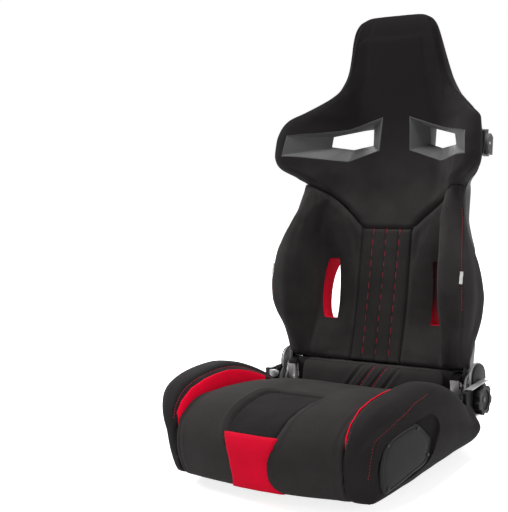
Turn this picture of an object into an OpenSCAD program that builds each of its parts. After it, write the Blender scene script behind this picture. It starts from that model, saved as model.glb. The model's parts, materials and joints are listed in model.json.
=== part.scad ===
// Reclining sport seat: a steel base and back frame carrying sewn foam pads.
// Millimetres, +X to the occupant's left, front of the seat toward -Y, +Z up.

/* [Overall] */
// Sideways distance between the base mounting bolts
mount_dx = 370; // [340:5:390]
// Front to rear distance between the base mounting bolts
mount_dy = 300; // [260:5:340]
// Resting recline of the backrest from upright, degrees
tilt = 18; // [10:1:26]
// Length factor of the backrest along its own height
back_len = 1.0; // [0.9:0.01:1.1]
// Width factor of the backrest
back_wid = 1.0; // [0.9:0.01:1.06]

/* [Base frame] */
// Height of the side rails
rail_h = 38; // [30:1:39]
// Width of the side rail flanges
rail_w = 28; // [22:1:34]
// Wall of the side rails
rail_t = 3; // [2:0.5:4]
// Length of the side rails
rail_len = 390; // [370:5:400]
// Distance from the origin back to the rear ends of the rails
rail_back = 172; // [160:1:180]
// Diameter of the cross tubes
tube_d = 25; // [20:1:28]
// Wall of the cross tubes
tube_t = 2; // [1.5:0.5:3]
// Thickness of the seat pan sheet
pan_t = 2; // [1:0.5:3]
// Radius of the bolt holes in the rails
hole_r = 4.5; // [4.2:0.1:5]
// Nominal diameter of the base fasteners
bolt_d = 8; // [6:1:10]

/* [Recliner] */
// Distance of the recline axis behind the origin
pivot_y = 168; // [160:1:176]
// Height of the recline axis
pivot_z = 106; // [102:1:110]
// Diameter of the cross shaft
shaft_d = 12; // [10:1:14]
// Running clearance on the shaft, radial
run_clear = 0.05; // [0.02:0.01:0.1]
// Thickness of the bracket plates
plate_t = 4; // [3:0.5:5]
// Side gap between plates that move past each other
side_gap = 1; // [0.5:0.1:2]
// Outer radius of the hand wheels
wheel_r = 33; // [30:1:36]
// Thickness of the hand wheels
wheel_w = 14; // [12:1:20]
// Number of lobes on a hand wheel
lobes = 7; // [5:1:9]

/* [Back frame] */
// Diameter of the back frame tube
hoop_d = 22; // [18:1:25]
// Sideways position of the back frame side tubes
hoop_x = 183; // [180:1:186]
// Distance of the frame tubes behind the back datum
hoop_v = 48; // [47:1:50]
// Half distance of the frame sides at the waist
waist_x = 148; // [140:1:150]
// Sheet thickness of the back frame channel
frame_t = 2.5; // [1.5:0.5:3]

/* [Soft parts] */
// Gap kept between neighbouring pads
pad_gap = 0.3; // [0.2:0.1:1]
// Half width of the pleated centre insert
insert_x = 62; // [54:1:66]
// Thickness of the rear cover
cover_t = 3; // [2:0.5:4]
// Half width of the cushion recess
recess_x = 64; // [56:1:70]
// Depth of the cushion recess
recess_deep = 16; // [10:1:20]

/* [Hidden] */

e = 0.01;
// back datum: the point the backrest sections are measured from
back_y = 149.6;
back_z = 123.5;

// colours
c_steel = [0.42, 0.42, 0.43];
c_black = [0.10, 0.10, 0.10];
c_fabric = [0.14, 0.13, 0.13];
c_cush = [0.20, 0.19, 0.19];
c_red = [0.80, 0.03, 0.16];
c_grey = [0.38, 0.38, 0.38];

rail_cx = mount_dx / 2;
rail_out = rail_cx + rail_w / 2;
rail_in = rail_cx - rail_w / 2;
rail_front = rail_back - rail_len;

// stack of plates along X at the recline axis, from the rail outward
br_in = rail_out;
br_out = br_in + plate_t;
leg_in = 219;
leg_t = 5;
arm_in = leg_in + leg_t + side_gap;
arm_t = 5;
outer_in = 238;
outer_out = outer_in + plate_t;
shield_in = outer_out;
shield_out = 252;
wheel_in = shield_out + side_gap;
wheel_out = wheel_in + wheel_w;

module mir(s) {
    if (s < 0) {
        mirror([1, 0, 0]) children();
    } else {
        children();
    }
}

// bar along X from x0 to x1 at (y, z)
module rod_x(d, x0, x1, y = 0, z = 0) {
    translate([x0, y, z]) rotate([0, 90, 0]) cylinder(d = d, h = x1 - x0, $fn = 48);
}

// plate in the Y-Z plane, from x0 to x1
module plate_x(x0, x1) {
    translate([x0, 0, 0]) rotate([90, 0, 90]) linear_extrude(height = x1 - x0) children();
}

module in_back() {
    translate([0, back_y, back_z]) rotate([-tilt, 0, 0]) children();
}

// faces that close a ring of n points, all meeting at point k of the ring
function fan(n, k) = [for (i = [1 : n - 2]) [k, (k + i) % n, (k + i + 1) % n]];

function backwards(f) = [for (i = [len(f) - 1 : -1 : 0]) f[i]];

// solid between matching rings of points; ring order runs left-handed about the path
module loft(rings, cap) {
    n = len(rings[0]);
    m = len(rings);
    pts = [for (r = rings) each r];
    sides = [for (i = [0 : m - 2]) for (j = [0 : n - 1])
        let (a = i * n + j, b = i * n + (j + 1) % n, c = a + n, d = b + n)
        each [[a, c, b], [b, c, d]]];
    last = [for (f = cap) [for (j = backwards(f)) (m - 1) * n + j]];
    polyhedron(points = pts, faces = concat(sides, cap, last), convexity = 10);
}

// ---------------------------------------------------------------- base frame

module rail_hole(y) {
    translate([rail_cx, y, -e]) cylinder(r = hole_r, h = rail_t + 2 * e, $fn = 48);
}

module rail() {
    difference() {
        translate([rail_in, rail_front, 0]) cube([rail_w, rail_len, rail_h]);
        translate([rail_in - e, rail_front - e, rail_t])
            cube([rail_w - rail_t + e, rail_len + 2 * e, rail_h - 2 * rail_t]);
        rail_hole(-mount_dy / 2);
        rail_hole(mount_dy / 2);
        for (y = [110, 160])
            rod_x(bolt_d + 0.6, rail_out - rail_t - 1, rail_out + 1, y, rail_h / 2);
    }
}

module left_rail() { color(c_black) mir(-1) rail(); }
module right_rail() { color(c_black) rail(); }

cross_x = rail_out - rail_t;
front_tube_y = -196;
rear_tube_y = 134;

module cross_tube(y) {
    difference() {
        rod_x(tube_d, -cross_x, cross_x, y, rail_h / 2);
        rod_x(tube_d - 2 * tube_t, -cross_x - e, cross_x + e, y, rail_h / 2);
    }
}

module front_cross_tube() { color(c_black) cross_tube(front_tube_y); }
module rear_cross_tube() { color(c_black) cross_tube(rear_tube_y); }

pan_front = -254;
pan_back = 152;

module pan_slot(y0, y1, x) {
    translate([x, y0, rail_h - 1]) cube([70, y1 - y0, pan_t + 2]);
}

module seat_pan() {
    color(c_black) difference() {
        translate([-rail_out, pan_front, rail_h])
            cube([2 * rail_out, pan_back - pan_front, pan_t]);
        for (x = [-140, -35, 70]) {
            pan_slot(-180, -70, x);
            pan_slot(-30, 80, x);
        }
    }
}

support_w = 18;

module side_support() {
    translate([rail_out, -216, 12]) cube([2, 300, 102]);
    translate([rail_out, -216, 11]) cube([support_w, 300, 2]);
}

module left_side_support() { color(c_black) mir(-1) side_support(); }
module right_side_support() { color(c_black) side_support(); }

nut_h = 6.5;

module mount_nuts() {
    color(c_steel) for (x = [-1, 1]) for (y = [-1, 1])
        translate([x * rail_cx, y * mount_dy / 2, rail_t]) difference() {
            cylinder(d = bolt_d * 1.85, h = nut_h, $fn = 6);
            translate([0, 0, -e]) cylinder(r = bolt_d / 2 - 0.6, h = nut_h + 1, $fn = 48);
        }
}

// ---------------------------------------------------------------- seat cushion

bow = 24;
cush_x = 197;
cush_rear_x = 176;
seat_rear = 136;
cush_bot = rail_h + pan_t;

function crown(x) = abs(x) < 58 ? 0 : 6 * (1 - pow((abs(x) - 122) / 70, 2));
function edge_drop(x) = abs(x) > 190 ? -(abs(x) - 190) * 0.55 : 0;
function nose(x) = bow * pow(x / cush_x, 2);
function cush_hw(y) = y > -60 ? cush_x - (cush_x - cush_rear_x) * pow((y + 60) / 196, 2) : cush_x;

// side profile of the cushion: [y, z, how much of the crown, how much of the bow]
cush_prof = [[136, 42, 0, 0], [136, 116, 0, 0], [106, 124, 0.6, 0], [60, 136, 1, 0],
    [15, 148, 1, 0], [-38, 160, 1, 0], [-80, 168, 1, 0], [-130, 175, 1, 0],
    [-180, 179, 1, 0.1], [-225, 178, 1, 0.3], [-262, 172, 1, 0.7], [-290, 162, 0.7, 1],
    [-310, 147, 0.4, 1], [-323, 126, 0.2, 1], [-329, 100, 0, 1], [-327, 72, 0, 1],
    [-319, 48, 0, 1], [-306, 31, 0, 0.9], [-288, 24, 0, 0.7], [-266, 25, 0, 0.3],
    [-258, 42, 0, 0]];

function cush_ring(s, g) = [for (p = cush_prof)
    let (x = s * (cush_hw(p[0]) + g), lift = p[2] > 0 ? g : 0, fore = p[3] >= 0.7 ? g : 0)
    [x, p[0] + p[3] * nose(x) - fore, p[1] + p[2] * (crown(x) + edge_drop(x)) + lift]];

cush_s = [-1, -0.96, -0.88, -0.76, -0.62, -0.46, -0.3, -0.15, 0,
    0.15, 0.3, 0.46, 0.62, 0.76, 0.88, 0.96, 1];

module cushion_form(g) {
    loft([for (s = cush_s) cush_ring(s, g)], fan(len(cush_prof), len(cush_prof) - 1));
}

recess_rear = -170;
recess_front = -318;

module recess_box(gap, up) {
    hull_x = recess_x - gap;
    polyhedron(points = [
        [-hull_x, recess_rear - gap, 182 - recess_deep + up],
        [hull_x, recess_rear - gap, 182 - recess_deep + up],
        [hull_x, recess_front + gap, 146 - recess_deep / 2 + up],
        [-hull_x, recess_front + gap, 146 - recess_deep / 2 + up],
        [-hull_x, recess_rear - gap, 230], [hull_x, recess_rear - gap, 230],
        [hull_x, recess_front + gap, 230], [-hull_x, recess_front + gap, 230]],
        faces = [[3, 2, 1, 0], [4, 5, 6, 7], [1, 5, 4, 0], [2, 6, 5, 1], [3, 7, 6, 2],
            [0, 4, 7, 3]]);
}

module seat_cushion() {
    color(c_cush) difference() {
        cushion_form(0);
        recess_box(0, 0);
    }
}

pad_up = 9;

module cushion_center_pad() {
    color(c_cush) difference() {
        recess_box(pad_gap, pad_gap);
        recess_box(-1, pad_up);
        translate([-100, recess_front - 60, 0]) cube([200, 60 + 3, 300]);
    }
}

module insert_outline() {
    polygon([[-recess_x, 146], [-46, 96], [-46, 27], [46, 27], [46, 96], [recess_x, 146]]);
}

module front_insert() {
    color(c_red) difference() {
        intersection() {
            cushion_form(3);
            translate([0, -285, 0]) rotate([90, 0, 0])
                linear_extrude(height = 97) insert_outline();
        }
        cushion_form(pad_gap);
        recess_box(-1, 0);
    }
}

roll_x = 178;

module rear_roll() {
    color(c_fabric) plate_x(-roll_x, roll_x)
        polygon([[seat_rear + pad_gap, cush_bot + 2], [seat_rear + pad_gap, 118], [141, 132],
            [146.5, 145], [152, 153.5], [158, 158.5], [163.5, 159.5], [163.5, 140],
            [152, 116], [150, 90], [150, cush_bot + 2]]);
}

// ---------------------------------------------------------------- base bolsters

// stations of the accent: y, lower z, upper z
acc_st = [[-288, 136, 156], [-271, 154, 175], [-236, 168, 193], [-190, 174, 200],
    [-150, 174, 201], [-110, 172, 199], [-70, 166, 190], [-35, 158, 178], [-5, 151, 165],
    [22, 146, 152]];

// inner face of a bolster, just outside the side of the cushion and behind it clear of the bolts
function bol_in(y) = y > 80 ? br_out + 2.2 : cush_hw(y) + 0.8;

// stations: y, inner top z, ridge z, seam x, seam z, widest x, widest z, bottom z
bol_st = [[-303, 108, 112, 208, 106, 212, 88, 70],
    [-299, 130, 138, 224, 128, 220, 92, 52],
    [-291, 152, 163, 237, 150, 228, 96, 36],
    [-276, 172, 184, 249, 171, 239, 100, 26],
    [-256, 187, 198, 260, 185, 253, 104, 19],
    [-226, 197, 207, 268, 196, 271, 106, 17],
    [-185, 203, 213, 274, 203, 287, 106, 17],
    [-135, 203, 214, 276, 205, 292, 106, 17],
    [-90, 198, 211, 276, 203, 292, 105, 17],
    [-50, 188, 202, 275, 194, 291, 103, 17],
    [0, 167, 181, 272, 172, 288, 96, 17],
    [48, 142, 155, 266, 144, 284, 82, 17],
    [88, 118, 126, 258, 112, 280, 66, 17],
    [106, 92, 96, 258, 84, 278, 57, 17],
    [126, 66, 70, 256, 61, 269, 44, 18],
    [146, 50, 53, 246, 46, 255, 34, 20],
    [160, 36, 38, 230, 33, 236, 28, 22]];

function acc_low(y) = lookup(y, [for (t = acc_st) [t[0], t[1]]]);

function bol_ring(t) = let (y = t[0], zi = t[1], zr = t[2], xs = t[3], zs = t[4],
    xm = t[5], zm = t[6], zb = t[7], xt = cush_x + 1, xb = min(232, xm - 18),
    zl = max(zb + 5, min(acc_low(y) - 11, zi - 14)), x0 = max(xt + 3.9, bol_in(y) + 0.3),
    x1 = max(xt + 0.17 * (xs - xt), x0 + 1), x2 = max(xt + 0.3 * (xs - xt), x1 + 1))
    [[bol_in(y), y, zb + 2], [bol_in(y), y, zl], [x0, y, zl],
    [x0 + 0.5, y, zi - 3], [x1, y, zi], [x2, y, zr - 2],
    [max(xt + 0.52 * (xs - xt), x2 + 1), y, zr], [max(xt + 0.8 * (xs - xt), x2 + 2), y, zr - 2],
    [max(xs, x2 + 3), y, zs], [xs + 0.55 * (xm - xs), y, (zs + zm) / 2 + min(7, 0.1 * (zs - zm))],
    [xm, y, zm],
    [xm - 0.14 * (xm - xb), y, zb + 0.66 * (zm - zb)],
    [xm - 0.42 * (xm - xb), y, zb + 0.34 * (zm - zb)],
    [xm - 0.78 * (xm - xb), y, zb + 0.1 * (zm - zb)],
    [xb, y, zb + 1], [bol_in(y) + 0.3 * (xb - bol_in(y)), y, zb]];

// the side plate stands parallel to the flank, turned in toward the front
plate_face = 285;
plate_turn = 13;

module at_plate() {
    translate([plate_face, -110, 0]) rotate([0, 0, -plate_turn]) translate([-plate_face, 110, 0])
        children();
}

module plate_outline() {
    polygon([[-164, 156], [-152, 149], [-135, 133], [-118, 113], [-123, 94], [-136, 71],
        [-176, 58], [-216, 47], [-252, 40], [-259, 52], [-262, 72], [-261, 92], [-257, 109],
        [-249, 126], [-233, 141], [-202, 151]]);
}

// opening left round the plate: a step on its upper rear side
module plate_recess() {
    polygon([[-202, 156], [-162, 162], [-138, 162], [-116, 160], [-98, 151], [-91, 138],
        [-93, 122], [-104, 104], [-124, 66], [-176, 50], [-216, 39], [-254, 32], [-264, 48],
        [-268, 72], [-267, 94], [-262, 112], [-254, 131], [-236, 147]]);
}

module bolster() {
    difference() {
        loft([for (t = bol_st) bol_ring(t)], fan(16, 2));
        at_plate() plate_x(plate_face - 5, plate_face + 30) plate_recess();
        translate([rail_out - 30, pan_front - 1, 0]) cube([54, 340, 13.5]);
        translate([rail_out - 30, pan_front - 1, 0]) cube([32.4, 347, 115]);
    }
}

module left_bolster() { color(c_cush) mir(-1) bolster(); }
module right_bolster() { color(c_cush) bolster(); }

function acc_ring(t) = let (x = cush_x + 0.5)
    [[x, t[0], t[1] - 8], [x + 0.6, t[0], t[2]], [x + 4, t[0], t[2]], [x + 4, t[0], t[1] - 8]];

module accent() {
    loft([for (t = acc_st) acc_ring(t)], fan(4, 0));
}

module left_accent() { color(c_red) mir(-1) accent(); }
module right_accent() { color(c_red) accent(); }

plate_thick = 8;

module side_plate() {
    difference() {
        at_plate() plate_x(plate_face - 5 + pad_gap, plate_face - 5 + plate_thick)
            plate_outline();
        at_plate() translate([plate_face - 5 + plate_thick - 2, 0, 0]) rotate([9.3, 0, 0])
            translate([0, -280, 116]) cube([10, 150, 3]);
    }
}

module left_side_plate() { color(c_grey) mir(-1) side_plate(); }
module right_side_plate() { color(c_grey) side_plate(); }

// ---------------------------------------------------------------- recliner

flange_z0 = 100;
flange_z1 = 148;
flange_y = 142;
flange_x = br_out + 3;
eye_r = 32;
ear_y = 187;
ear_r = 34;

disc_r = 21;

module at_pivot() { translate([0, pivot_y, pivot_z]) children(); }

module bracket() {
    difference() {
        union() {
            // inner plate from the rail up round the pivot
            plate_x(br_in, br_out) difference() {
                union() {
                    translate([92, 5]) square([84, rail_h - 8]);
                    polygon([[118, 30], [176, 30], [pivot_y + eye_r, pivot_z],
                        [pivot_y - eye_r, pivot_z]]);
                    translate([pivot_y, pivot_z]) circle(r = eye_r, $fn = 64);
                    translate([flange_y, flange_z0]) square([20, 44]);
                }
            }
            // flange facing forward
            translate([br_in, flange_y, flange_z0])
                cube([leg_in - side_gap - br_in, plate_t, flange_z1 - flange_z0]);
            // bridge under the pivot to the outer plate
            translate([br_in, 152, 64]) cube([outer_out - br_in, 40, plate_t]);
            // outer plate with its upright ear
            plate_x(outer_in, outer_out) {
                translate([pivot_y, pivot_z]) circle(r = eye_r, $fn = 64);
                translate([152, 64]) square([40, 30]);
                translate([ear_y - ear_r, 84]) square([2 * ear_r, 62]);
                translate([ear_y, 146]) circle(r = ear_r, $fn = 64);
            }
        }
        rod_x(2 * (shaft_d / 2 + run_clear), br_in - 1, outer_out + 1, pivot_y, pivot_z);
        for (y = [110, 160])
            rod_x(bolt_d + 0.6, br_in - 1, br_out + 1, y, rail_h / 2);
        // corner cut of the flange
        translate([br_out + 2, flange_y - 1, flange_z0 + 6]) cube([14, plate_t + 2, 4]);
    }
}

module left_bracket() { color(c_steel) mir(-1) bracket(); }
module right_bracket() { color(c_steel) bracket(); }

module bracket_bolt(y) {
    rod_x(bolt_d, rail_out - rail_t - 7, br_out, y, rail_h / 2);
    translate([br_out, y, rail_h / 2]) rotate([0, 90, 0])
        cylinder(d = 1.9 * bolt_d, h = 1.2, $fn = 48);
    translate([rail_out - rail_t - 6.5, y, rail_h / 2]) rotate([0, 90, 0])
        cylinder(d = 1.85 * bolt_d, h = 6.5, $fn = 6);
}

module bracket_bolts() {
    color(c_steel) for (s = [-1, 1]) mir(s) for (y = [110, 160]) bracket_bolt(y);
}

module recliner_disc() {
    difference() {
        rod_x(2 * disc_r, br_out, leg_in - side_gap, pivot_y, pivot_z);
        rod_x(2 * (shaft_d / 2 + run_clear), br_out - 1, leg_in + 1, pivot_y, pivot_z);
    }
}

module left_recliner_disc() { color(c_steel) mir(-1) recliner_disc(); }
module right_recliner_disc() { color(c_steel) recliner_disc(); }

module ear_outline(m) {
    translate([ear_y, 146]) circle(r = ear_r - m, $fn = 64);
    translate([ear_y - ear_r + m, 112]) square([2 * (ear_r - m), 34]);
}

module pivot_cover() {
    plate_x(outer_out, outer_out + 5) difference() {
        ear_outline(2.5);
        square([900, 2 * 137 + 1], center = true);
    }
}

module left_pivot_cover() { color(c_black) mir(-1) pivot_cover(); }
module right_pivot_cover() { color(c_black) pivot_cover(); }

module shield_outline() {
    polygon([[108, 104], [108, 135], [112, 137], [198, 137], [206, 130], [210, 112],
        [204, 92], [190, 80], [170, 74], [140, 76], [120, 88]]);
}

module side_shield() {
    difference() {
        union() {
            plate_x(shield_in, shield_out) shield_outline();
        }
        rod_x(2 * (shaft_d / 2 + run_clear), shield_in - 1, shield_out + 1, pivot_y, pivot_z);
    }
}

module left_side_shield() { color(c_black) mir(-1) side_shield(); }
module right_side_shield() { color(c_black) side_shield(); }

// arm: turned by the recliner, carries the latch stud
arm_hw = 22;
latch_w = 30;

module arm() {
    difference() {
        plate_x(arm_in, arm_in + arm_t) {
            circle(r = 27, $fn = 64);
            translate([-arm_hw, 0]) square([2 * arm_hw, latch_w]);
            translate([0, latch_w]) circle(r = arm_hw, $fn = 64);
        }
        rod_x(2 * (shaft_d / 2 + run_clear), arm_in - 1, arm_in + arm_t + 1);
        rod_x(bolt_d + 0.2, arm_in - 1, arm_in + arm_t + 1, -8, latch_w);
    }
}

module at_arm() { at_pivot() rotate([-tilt, 0, 0]) children(); }

module left_recliner_arm() { color(c_steel) mir(-1) at_arm() arm(); }
module right_recliner_arm() { color(c_steel) at_arm() arm(); }

module latch_studs() {
    color(c_steel) for (s = [-1, 1]) mir(s) at_arm() {
        rod_x(bolt_d, arm_in - 0.6, arm_in + arm_t, -8, latch_w);
        rod_x(1.8 * bolt_d, arm_in + arm_t, arm_in + arm_t + 1.6, -8, latch_w);
    }
}

module cross_shaft() {
    color(c_steel) rod_x(shaft_d, -wheel_in - 12, wheel_in + 12, pivot_y, pivot_z);
}

module hand_wheel() {
    difference() {
        at_pivot() translate([wheel_in, 0, 0]) rotate([90, 0, 90]) {
            linear_extrude(height = wheel_w) difference() {
                circle(r = wheel_r, $fn = 96);
                for (i = [0 : lobes - 1]) rotate(i * 360 / lobes + 12)
                    translate([wheel_r + 5, 0]) circle(r = 10, $fn = 40);
            }
        }
        at_pivot() rod_x(shaft_d, wheel_in - 1, wheel_in + 12);
        // dished face
        at_pivot() translate([wheel_out - 3, 0, 0]) rotate([0, 90, 0])
            cylinder(r = 21, h = 4, $fn = 64);
    }
}

module left_hand_wheel() { color(c_black) mir(-1) hand_wheel(); }
module right_hand_wheel() { color(c_black) hand_wheel(); }

// ---------------------------------------------------------------- back frame

// the pivot, measured in the back datum
pv = (pivot_y - back_y) * cos(tilt) - (pivot_z - back_z) * sin(tilt);
pw = (pivot_y - back_y) * sin(tilt) + (pivot_z - back_z) * cos(tilt);
low_w = 92 * back_len;
hoop_top = 466 * back_len;
leg_top = 118 * back_len;

module leg() {
    difference() {
        plate_x(leg_in, leg_in + leg_t) {
            circle(r = 25, $fn = 64);
            translate([-20, 0]) square([40, leg_top - pw - 20]);
            translate([0, leg_top - pw - 20]) circle(r = 20, $fn = 64);
        }
        rod_x(2 * (shaft_d / 2 + run_clear), leg_in - 1, leg_in + leg_t + 1);
        // notch that takes the latch stud
        translate([leg_in - 1, -21, latch_w - 4.6]) cube([leg_t + 2, 13, 9.2]);
    }
}

module left_frame_leg() { color(c_steel) mir(-1) at_arm() leg(); }
module right_frame_leg() { color(c_steel) at_arm() leg(); }

leg_v = pv;

low_v = leg_v + 10;

module back_lower_tube() {
    color(c_black) in_back() difference() {
        rod_x(hoop_d, -leg_in, leg_in, low_v, low_w);
        rod_x(hoop_d - 4, -leg_in - 1, leg_in + 1, low_v, low_w);
    }
}

hoop_h = hoop_d / 2;
hoop_k = tan(atan2(hoop_x - waist_x, 95) / 2);
hoop_foot = low_w + hoop_h + 4;
hoop_rear = hoop_v - hoop_h + 17;

// half of the frame's centre line moved sideways by h
function hoop_side(h) = [[hoop_x + h, hoop_foot], [hoop_x + h, 290 * back_len + h * hoop_k],
    [waist_x + h, 385 * back_len + h * hoop_k], [waist_x + h, hoop_top + h]];

function flipped(p) = [for (i = [len(p) - 1 : -1 : 0]) [-p[i][0], p[i][1]]];

module hoop_band(h0, h1) {
    difference() {
        polygon(concat(hoop_side(h1), flipped(hoop_side(h1))));
        polygon(concat([[hoop_x + h0, hoop_foot - 1]], hoop_side(h0), flipped(hoop_side(h0)),
            [[-hoop_x - h0, hoop_foot - 1]]));
    }
}

module at_depth(v0, v1) {
    translate([0, v1, 0]) rotate([90, 0, 0]) linear_extrude(height = v1 - v0) children();
}

module back_hoop() {
    color(c_black) in_back() {
        difference() {
            at_depth(hoop_v - hoop_h, hoop_rear) hoop_band(-hoop_h, hoop_h);
            at_depth(hoop_v - hoop_h + frame_t, hoop_rear + 1)
                hoop_band(frame_t - hoop_h, hoop_h - frame_t);
        }
        // feet seated on the lower tube
        for (s = [-1, 1]) difference() {
            translate([s * hoop_x - 4, low_v - 6, low_w])
                cube([8, hoop_rear - low_v + 6, hoop_h + 12]);
            rod_x(hoop_d + 0.1, -leg_in, leg_in, low_v, low_w);
        }
    }
}

module lumbar_tube() {
    color(c_black) in_back() rod_x(9, -hoop_x + hoop_h, hoop_x - hoop_h, hoop_v - 2, 283 * back_len);
}

// bent flat bars and a panel that carry the head pad
module head_bar() {
    plate_x(22, 27) polygon([[40, hoop_top + hoop_d / 2], [40, 600 * back_len],
        [33, 655 * back_len], [24, 700 * back_len], [8, 745 * back_len],
        [-6, 770 * back_len], [2, 774 * back_len], [18, 749 * back_len],
        [35, 704 * back_len], [45, 657 * back_len], [52, 600 * back_len],
        [52, hoop_top + hoop_d / 2]]);
}

module head_frame() {
    color(c_black) in_back() {
        head_bar();
        mirror([1, 0, 0]) head_bar();
        translate([-60, 44, 590 * back_len]) cube([120, 3, 30]);
        translate([-50, -4, 768 * back_len]) rotate([26, 0, 0]) translate([0, 2, -42])
            cube([100, 3, 42]);
    }
}

// ---------------------------------------------------------------- back pads

// stations up the back: w, half width, centre v, knee x, knee v, slope foot x,
// slope foot v, crest x, crest v, outline v, rear edge v, rear plane v
back_st = [[45, 226, 3, 121, -1, 166, -3, 178, -12, 22, 36, 36],
    [62, 227, 5, 121, 3, 167, 0, 180, -24, 14, 38, 36],
    [83, 229, 5, 121, 9, 168, 6, 182, -36, 4, 38, 36],
    [110, 234, 5, 121, 18, 168, 17, 185, -50, -16, 38, 36],
    [139, 243, 5, 121, 28, 168, 29, 187, -65, -42, 37, 36],
    [170, 249, 5, 121, 31, 168, 33, 188, -81, -58, 36, 36],
    [200, 250, 5, 121, 29, 168, 33, 188, -91, -62, 36, 36],
    [235, 246, 4, 121, 24, 168, 29, 188, -98, -65, 30, 36],
    [276, 237, 4, 121, 13, 168, 18, 188, -103, -66, 20, 36],
    [311, 225, 3, 121, 6, 167, 8, 186, -101, -60, 8, 35],
    [348, 212, 3, 121, 3, 164, -4, 181, -93, -48, -4, 34],
    [385, 204, 3, 121, 1, 158, -12, 176, -80, -40, -10, 34],
    [412, 202, 4, 121, 0, 150, -14, 175, -68, -36, -12, 34],
    [432, 201, 4, 121, 1, 148, -16, 178, -56, -32, -14, 34],
    [447, 206, 4, 121, 1, 146, -18, 184, -60, -42, -20, 34],
    [458, 224, 4, 121, 1, 144, -20, 202, -82, -62, -34, 34],
    [467, 244, 4, 120, 1, 142, -20, 220, -97, -76, -48, 34],
    [481, 256, 4, 119, 1, 141, -20, 232, -107, -84, -56, 34],
    [500, 260, 4, 119, 1, 140, -19, 236, -112, -88, -60, 34],
    [530, 259, 3, 119, 1, 140, -18, 236, -112, -89, -62, 34],
    [560, 254, 1, 119, -1, 140, -19, 233, -105, -88, -60, 34],
    [584, 244, -1, 116, -4, 138, -21, 225, -92, -78, -46, 34],
    [605, 220, -4, 110, -7, 130, -20, 202, -72, -62, -20, 33],
    [628, 193, -8, 100, -10, 120, -18, 178, -50, -42, 4, 31],
    [650, 165, -13, 90, -14, 105, -17, 150, -35, -28, 16, 28],
    [670, 146, -18, 80, -18, 96, -20, 132, -29, -19, 21, 25],
    [700, 130, -26, 70, -26, 86, -27, 117, -31, -19, 14, 18],
    [745, 118, -38, 66, -38, 80, -38, 106, -41, -28, -4, 2],
    [780, 110, -47, 62, -47, 74, -47, 98, -49, -38, -20, -16],
    [802, 103, -51, 58, -51, 68, -51, 90, -52, -43, -30, -26],
    [818, 91, -52, 50, -52, 60, -52, 78, -52, -46, -36, -32],
    [828, 72, -51, 40, -51, 48, -51, 62, -50, -47, -40, -38]];

// half width of the flat rear plane of the pads, by height
rear_flat = [[45, 190], [300, 190], [345, 181], [385, 173], [447, 170], [467, 161], [600, 160],
    [640, 138], [700, 105]];

function pad_rear_x(t) = min(t[1] - 24, lookup(t[0], rear_flat));

function bx(t, x) = x * back_wid;

function back_half(t) = let (X = t[1], vc = t[2], xk = t[3], vk = t[4], xf = t[5],
    vf = t[6], xc = t[7], v = t[8], vo = t[9], vr = t[10], vp = t[11])
    let (x1 = min(60, 0.5 * xk))
    [[0, vc], [x1, vc + 0.15 * (vk - vc)], [0.5 * (x1 + xk), vc + 0.55 * (vk - vc)],
    [xk, vk], [0.5 * (xk + xf), 0.5 * (vk + vf) + 0.04 * (xf - xk)], [xf, vf],
    [xf + 0.42 * (xc - xf), vf + 0.5 * (v - vf)], [xf + 0.8 * (xc - xf), vf + 0.9 * (v - vf)],
    [xc, v], [xc + 0.6 * (X - xc), v + 0.07 * (vo - v)],
    [X - 0.15 * (X - xc), v + 0.32 * (vo - v)], [X, vo],
    [X - 0.04 * (X - xk), 0.5 * (vo + vr)], [X - 0.11 * (X - xk), vr],
    [pad_rear_x(t), vp], [0, vp]];

function back_ring(t) = let (h = back_half(t), n = len(h))
    concat([for (i = [0 : n - 1]) [bx(t, h[i][0]), h[i][1], t[0] * back_len]],
        [for (i = [n - 2 : -1 : 1]) [-bx(t, h[i][0]), h[i][1], t[0] * back_len]]);

// faces that close such a ring: the middle and the flanks, each side
back_cap = [[15, 0, 1, 2, 3, 4, 5], [14, 15, 5, 6, 7, 8, 9, 10, 11, 12, 13],
    [15, 25, 26, 27, 28, 29, 0], [16, 17, 18, 19, 20, 21, 22, 23, 24, 25, 15]];

// the pads between two heights, as one form
module back_form(low, high) {
    loft([for (t = back_st) if (t[0] >= low && t[0] <= high) back_ring(t)], back_cap);
}

// prism along the depth of the back from an outline in x and height
module depth_prism(v0, v1) {
    translate([0, v1, 0]) rotate([90, 0, 0]) linear_extrude(height = v1 - v0)
        scale([back_wid, back_len]) children();
}

// belt slot outline, right side
belt_x0 = 122;
cover_slot_gap = 7;

module belt_outline(m) {
    polygon([[belt_x0 + m, 140 + m], [156 - m, 141 + m], [163 - m, 160], [167 - m, 190],
        [166 - m, 222], [160 - m, 252], [150 - m, 275 - m], [belt_x0 + m, 276 - m]]);
}

// harness slot: mouth corners on the pad face and throat corners deeper in
har_mouth = [[37, -2, 602], [223, -104, 545], [229, -108, 498], [119, 2, 506], [42, 5, 530]];
har_throat = [[73, 26, 586], [156, -14, 560], [160, -11, 537], [115, 15, 535], [75, 34, 549]];

function har_pt(p, c, g, v) = [(c[0] + (p[0] - c[0]) * (1 + g / 80)) * back_wid, p[1] + v,
    (c[2] + (p[2] - c[2]) * (1 + g / 32)) * back_len];

// outlet corners, behind the pad
har_deep = [[66, 96, 604], [206, 44, 580], [206, 44, 528], [118, 80, 524], [66, 96, 538]];

har_mc = [140, 0, 545];
har_tc = [115, 0, 552];

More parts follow.
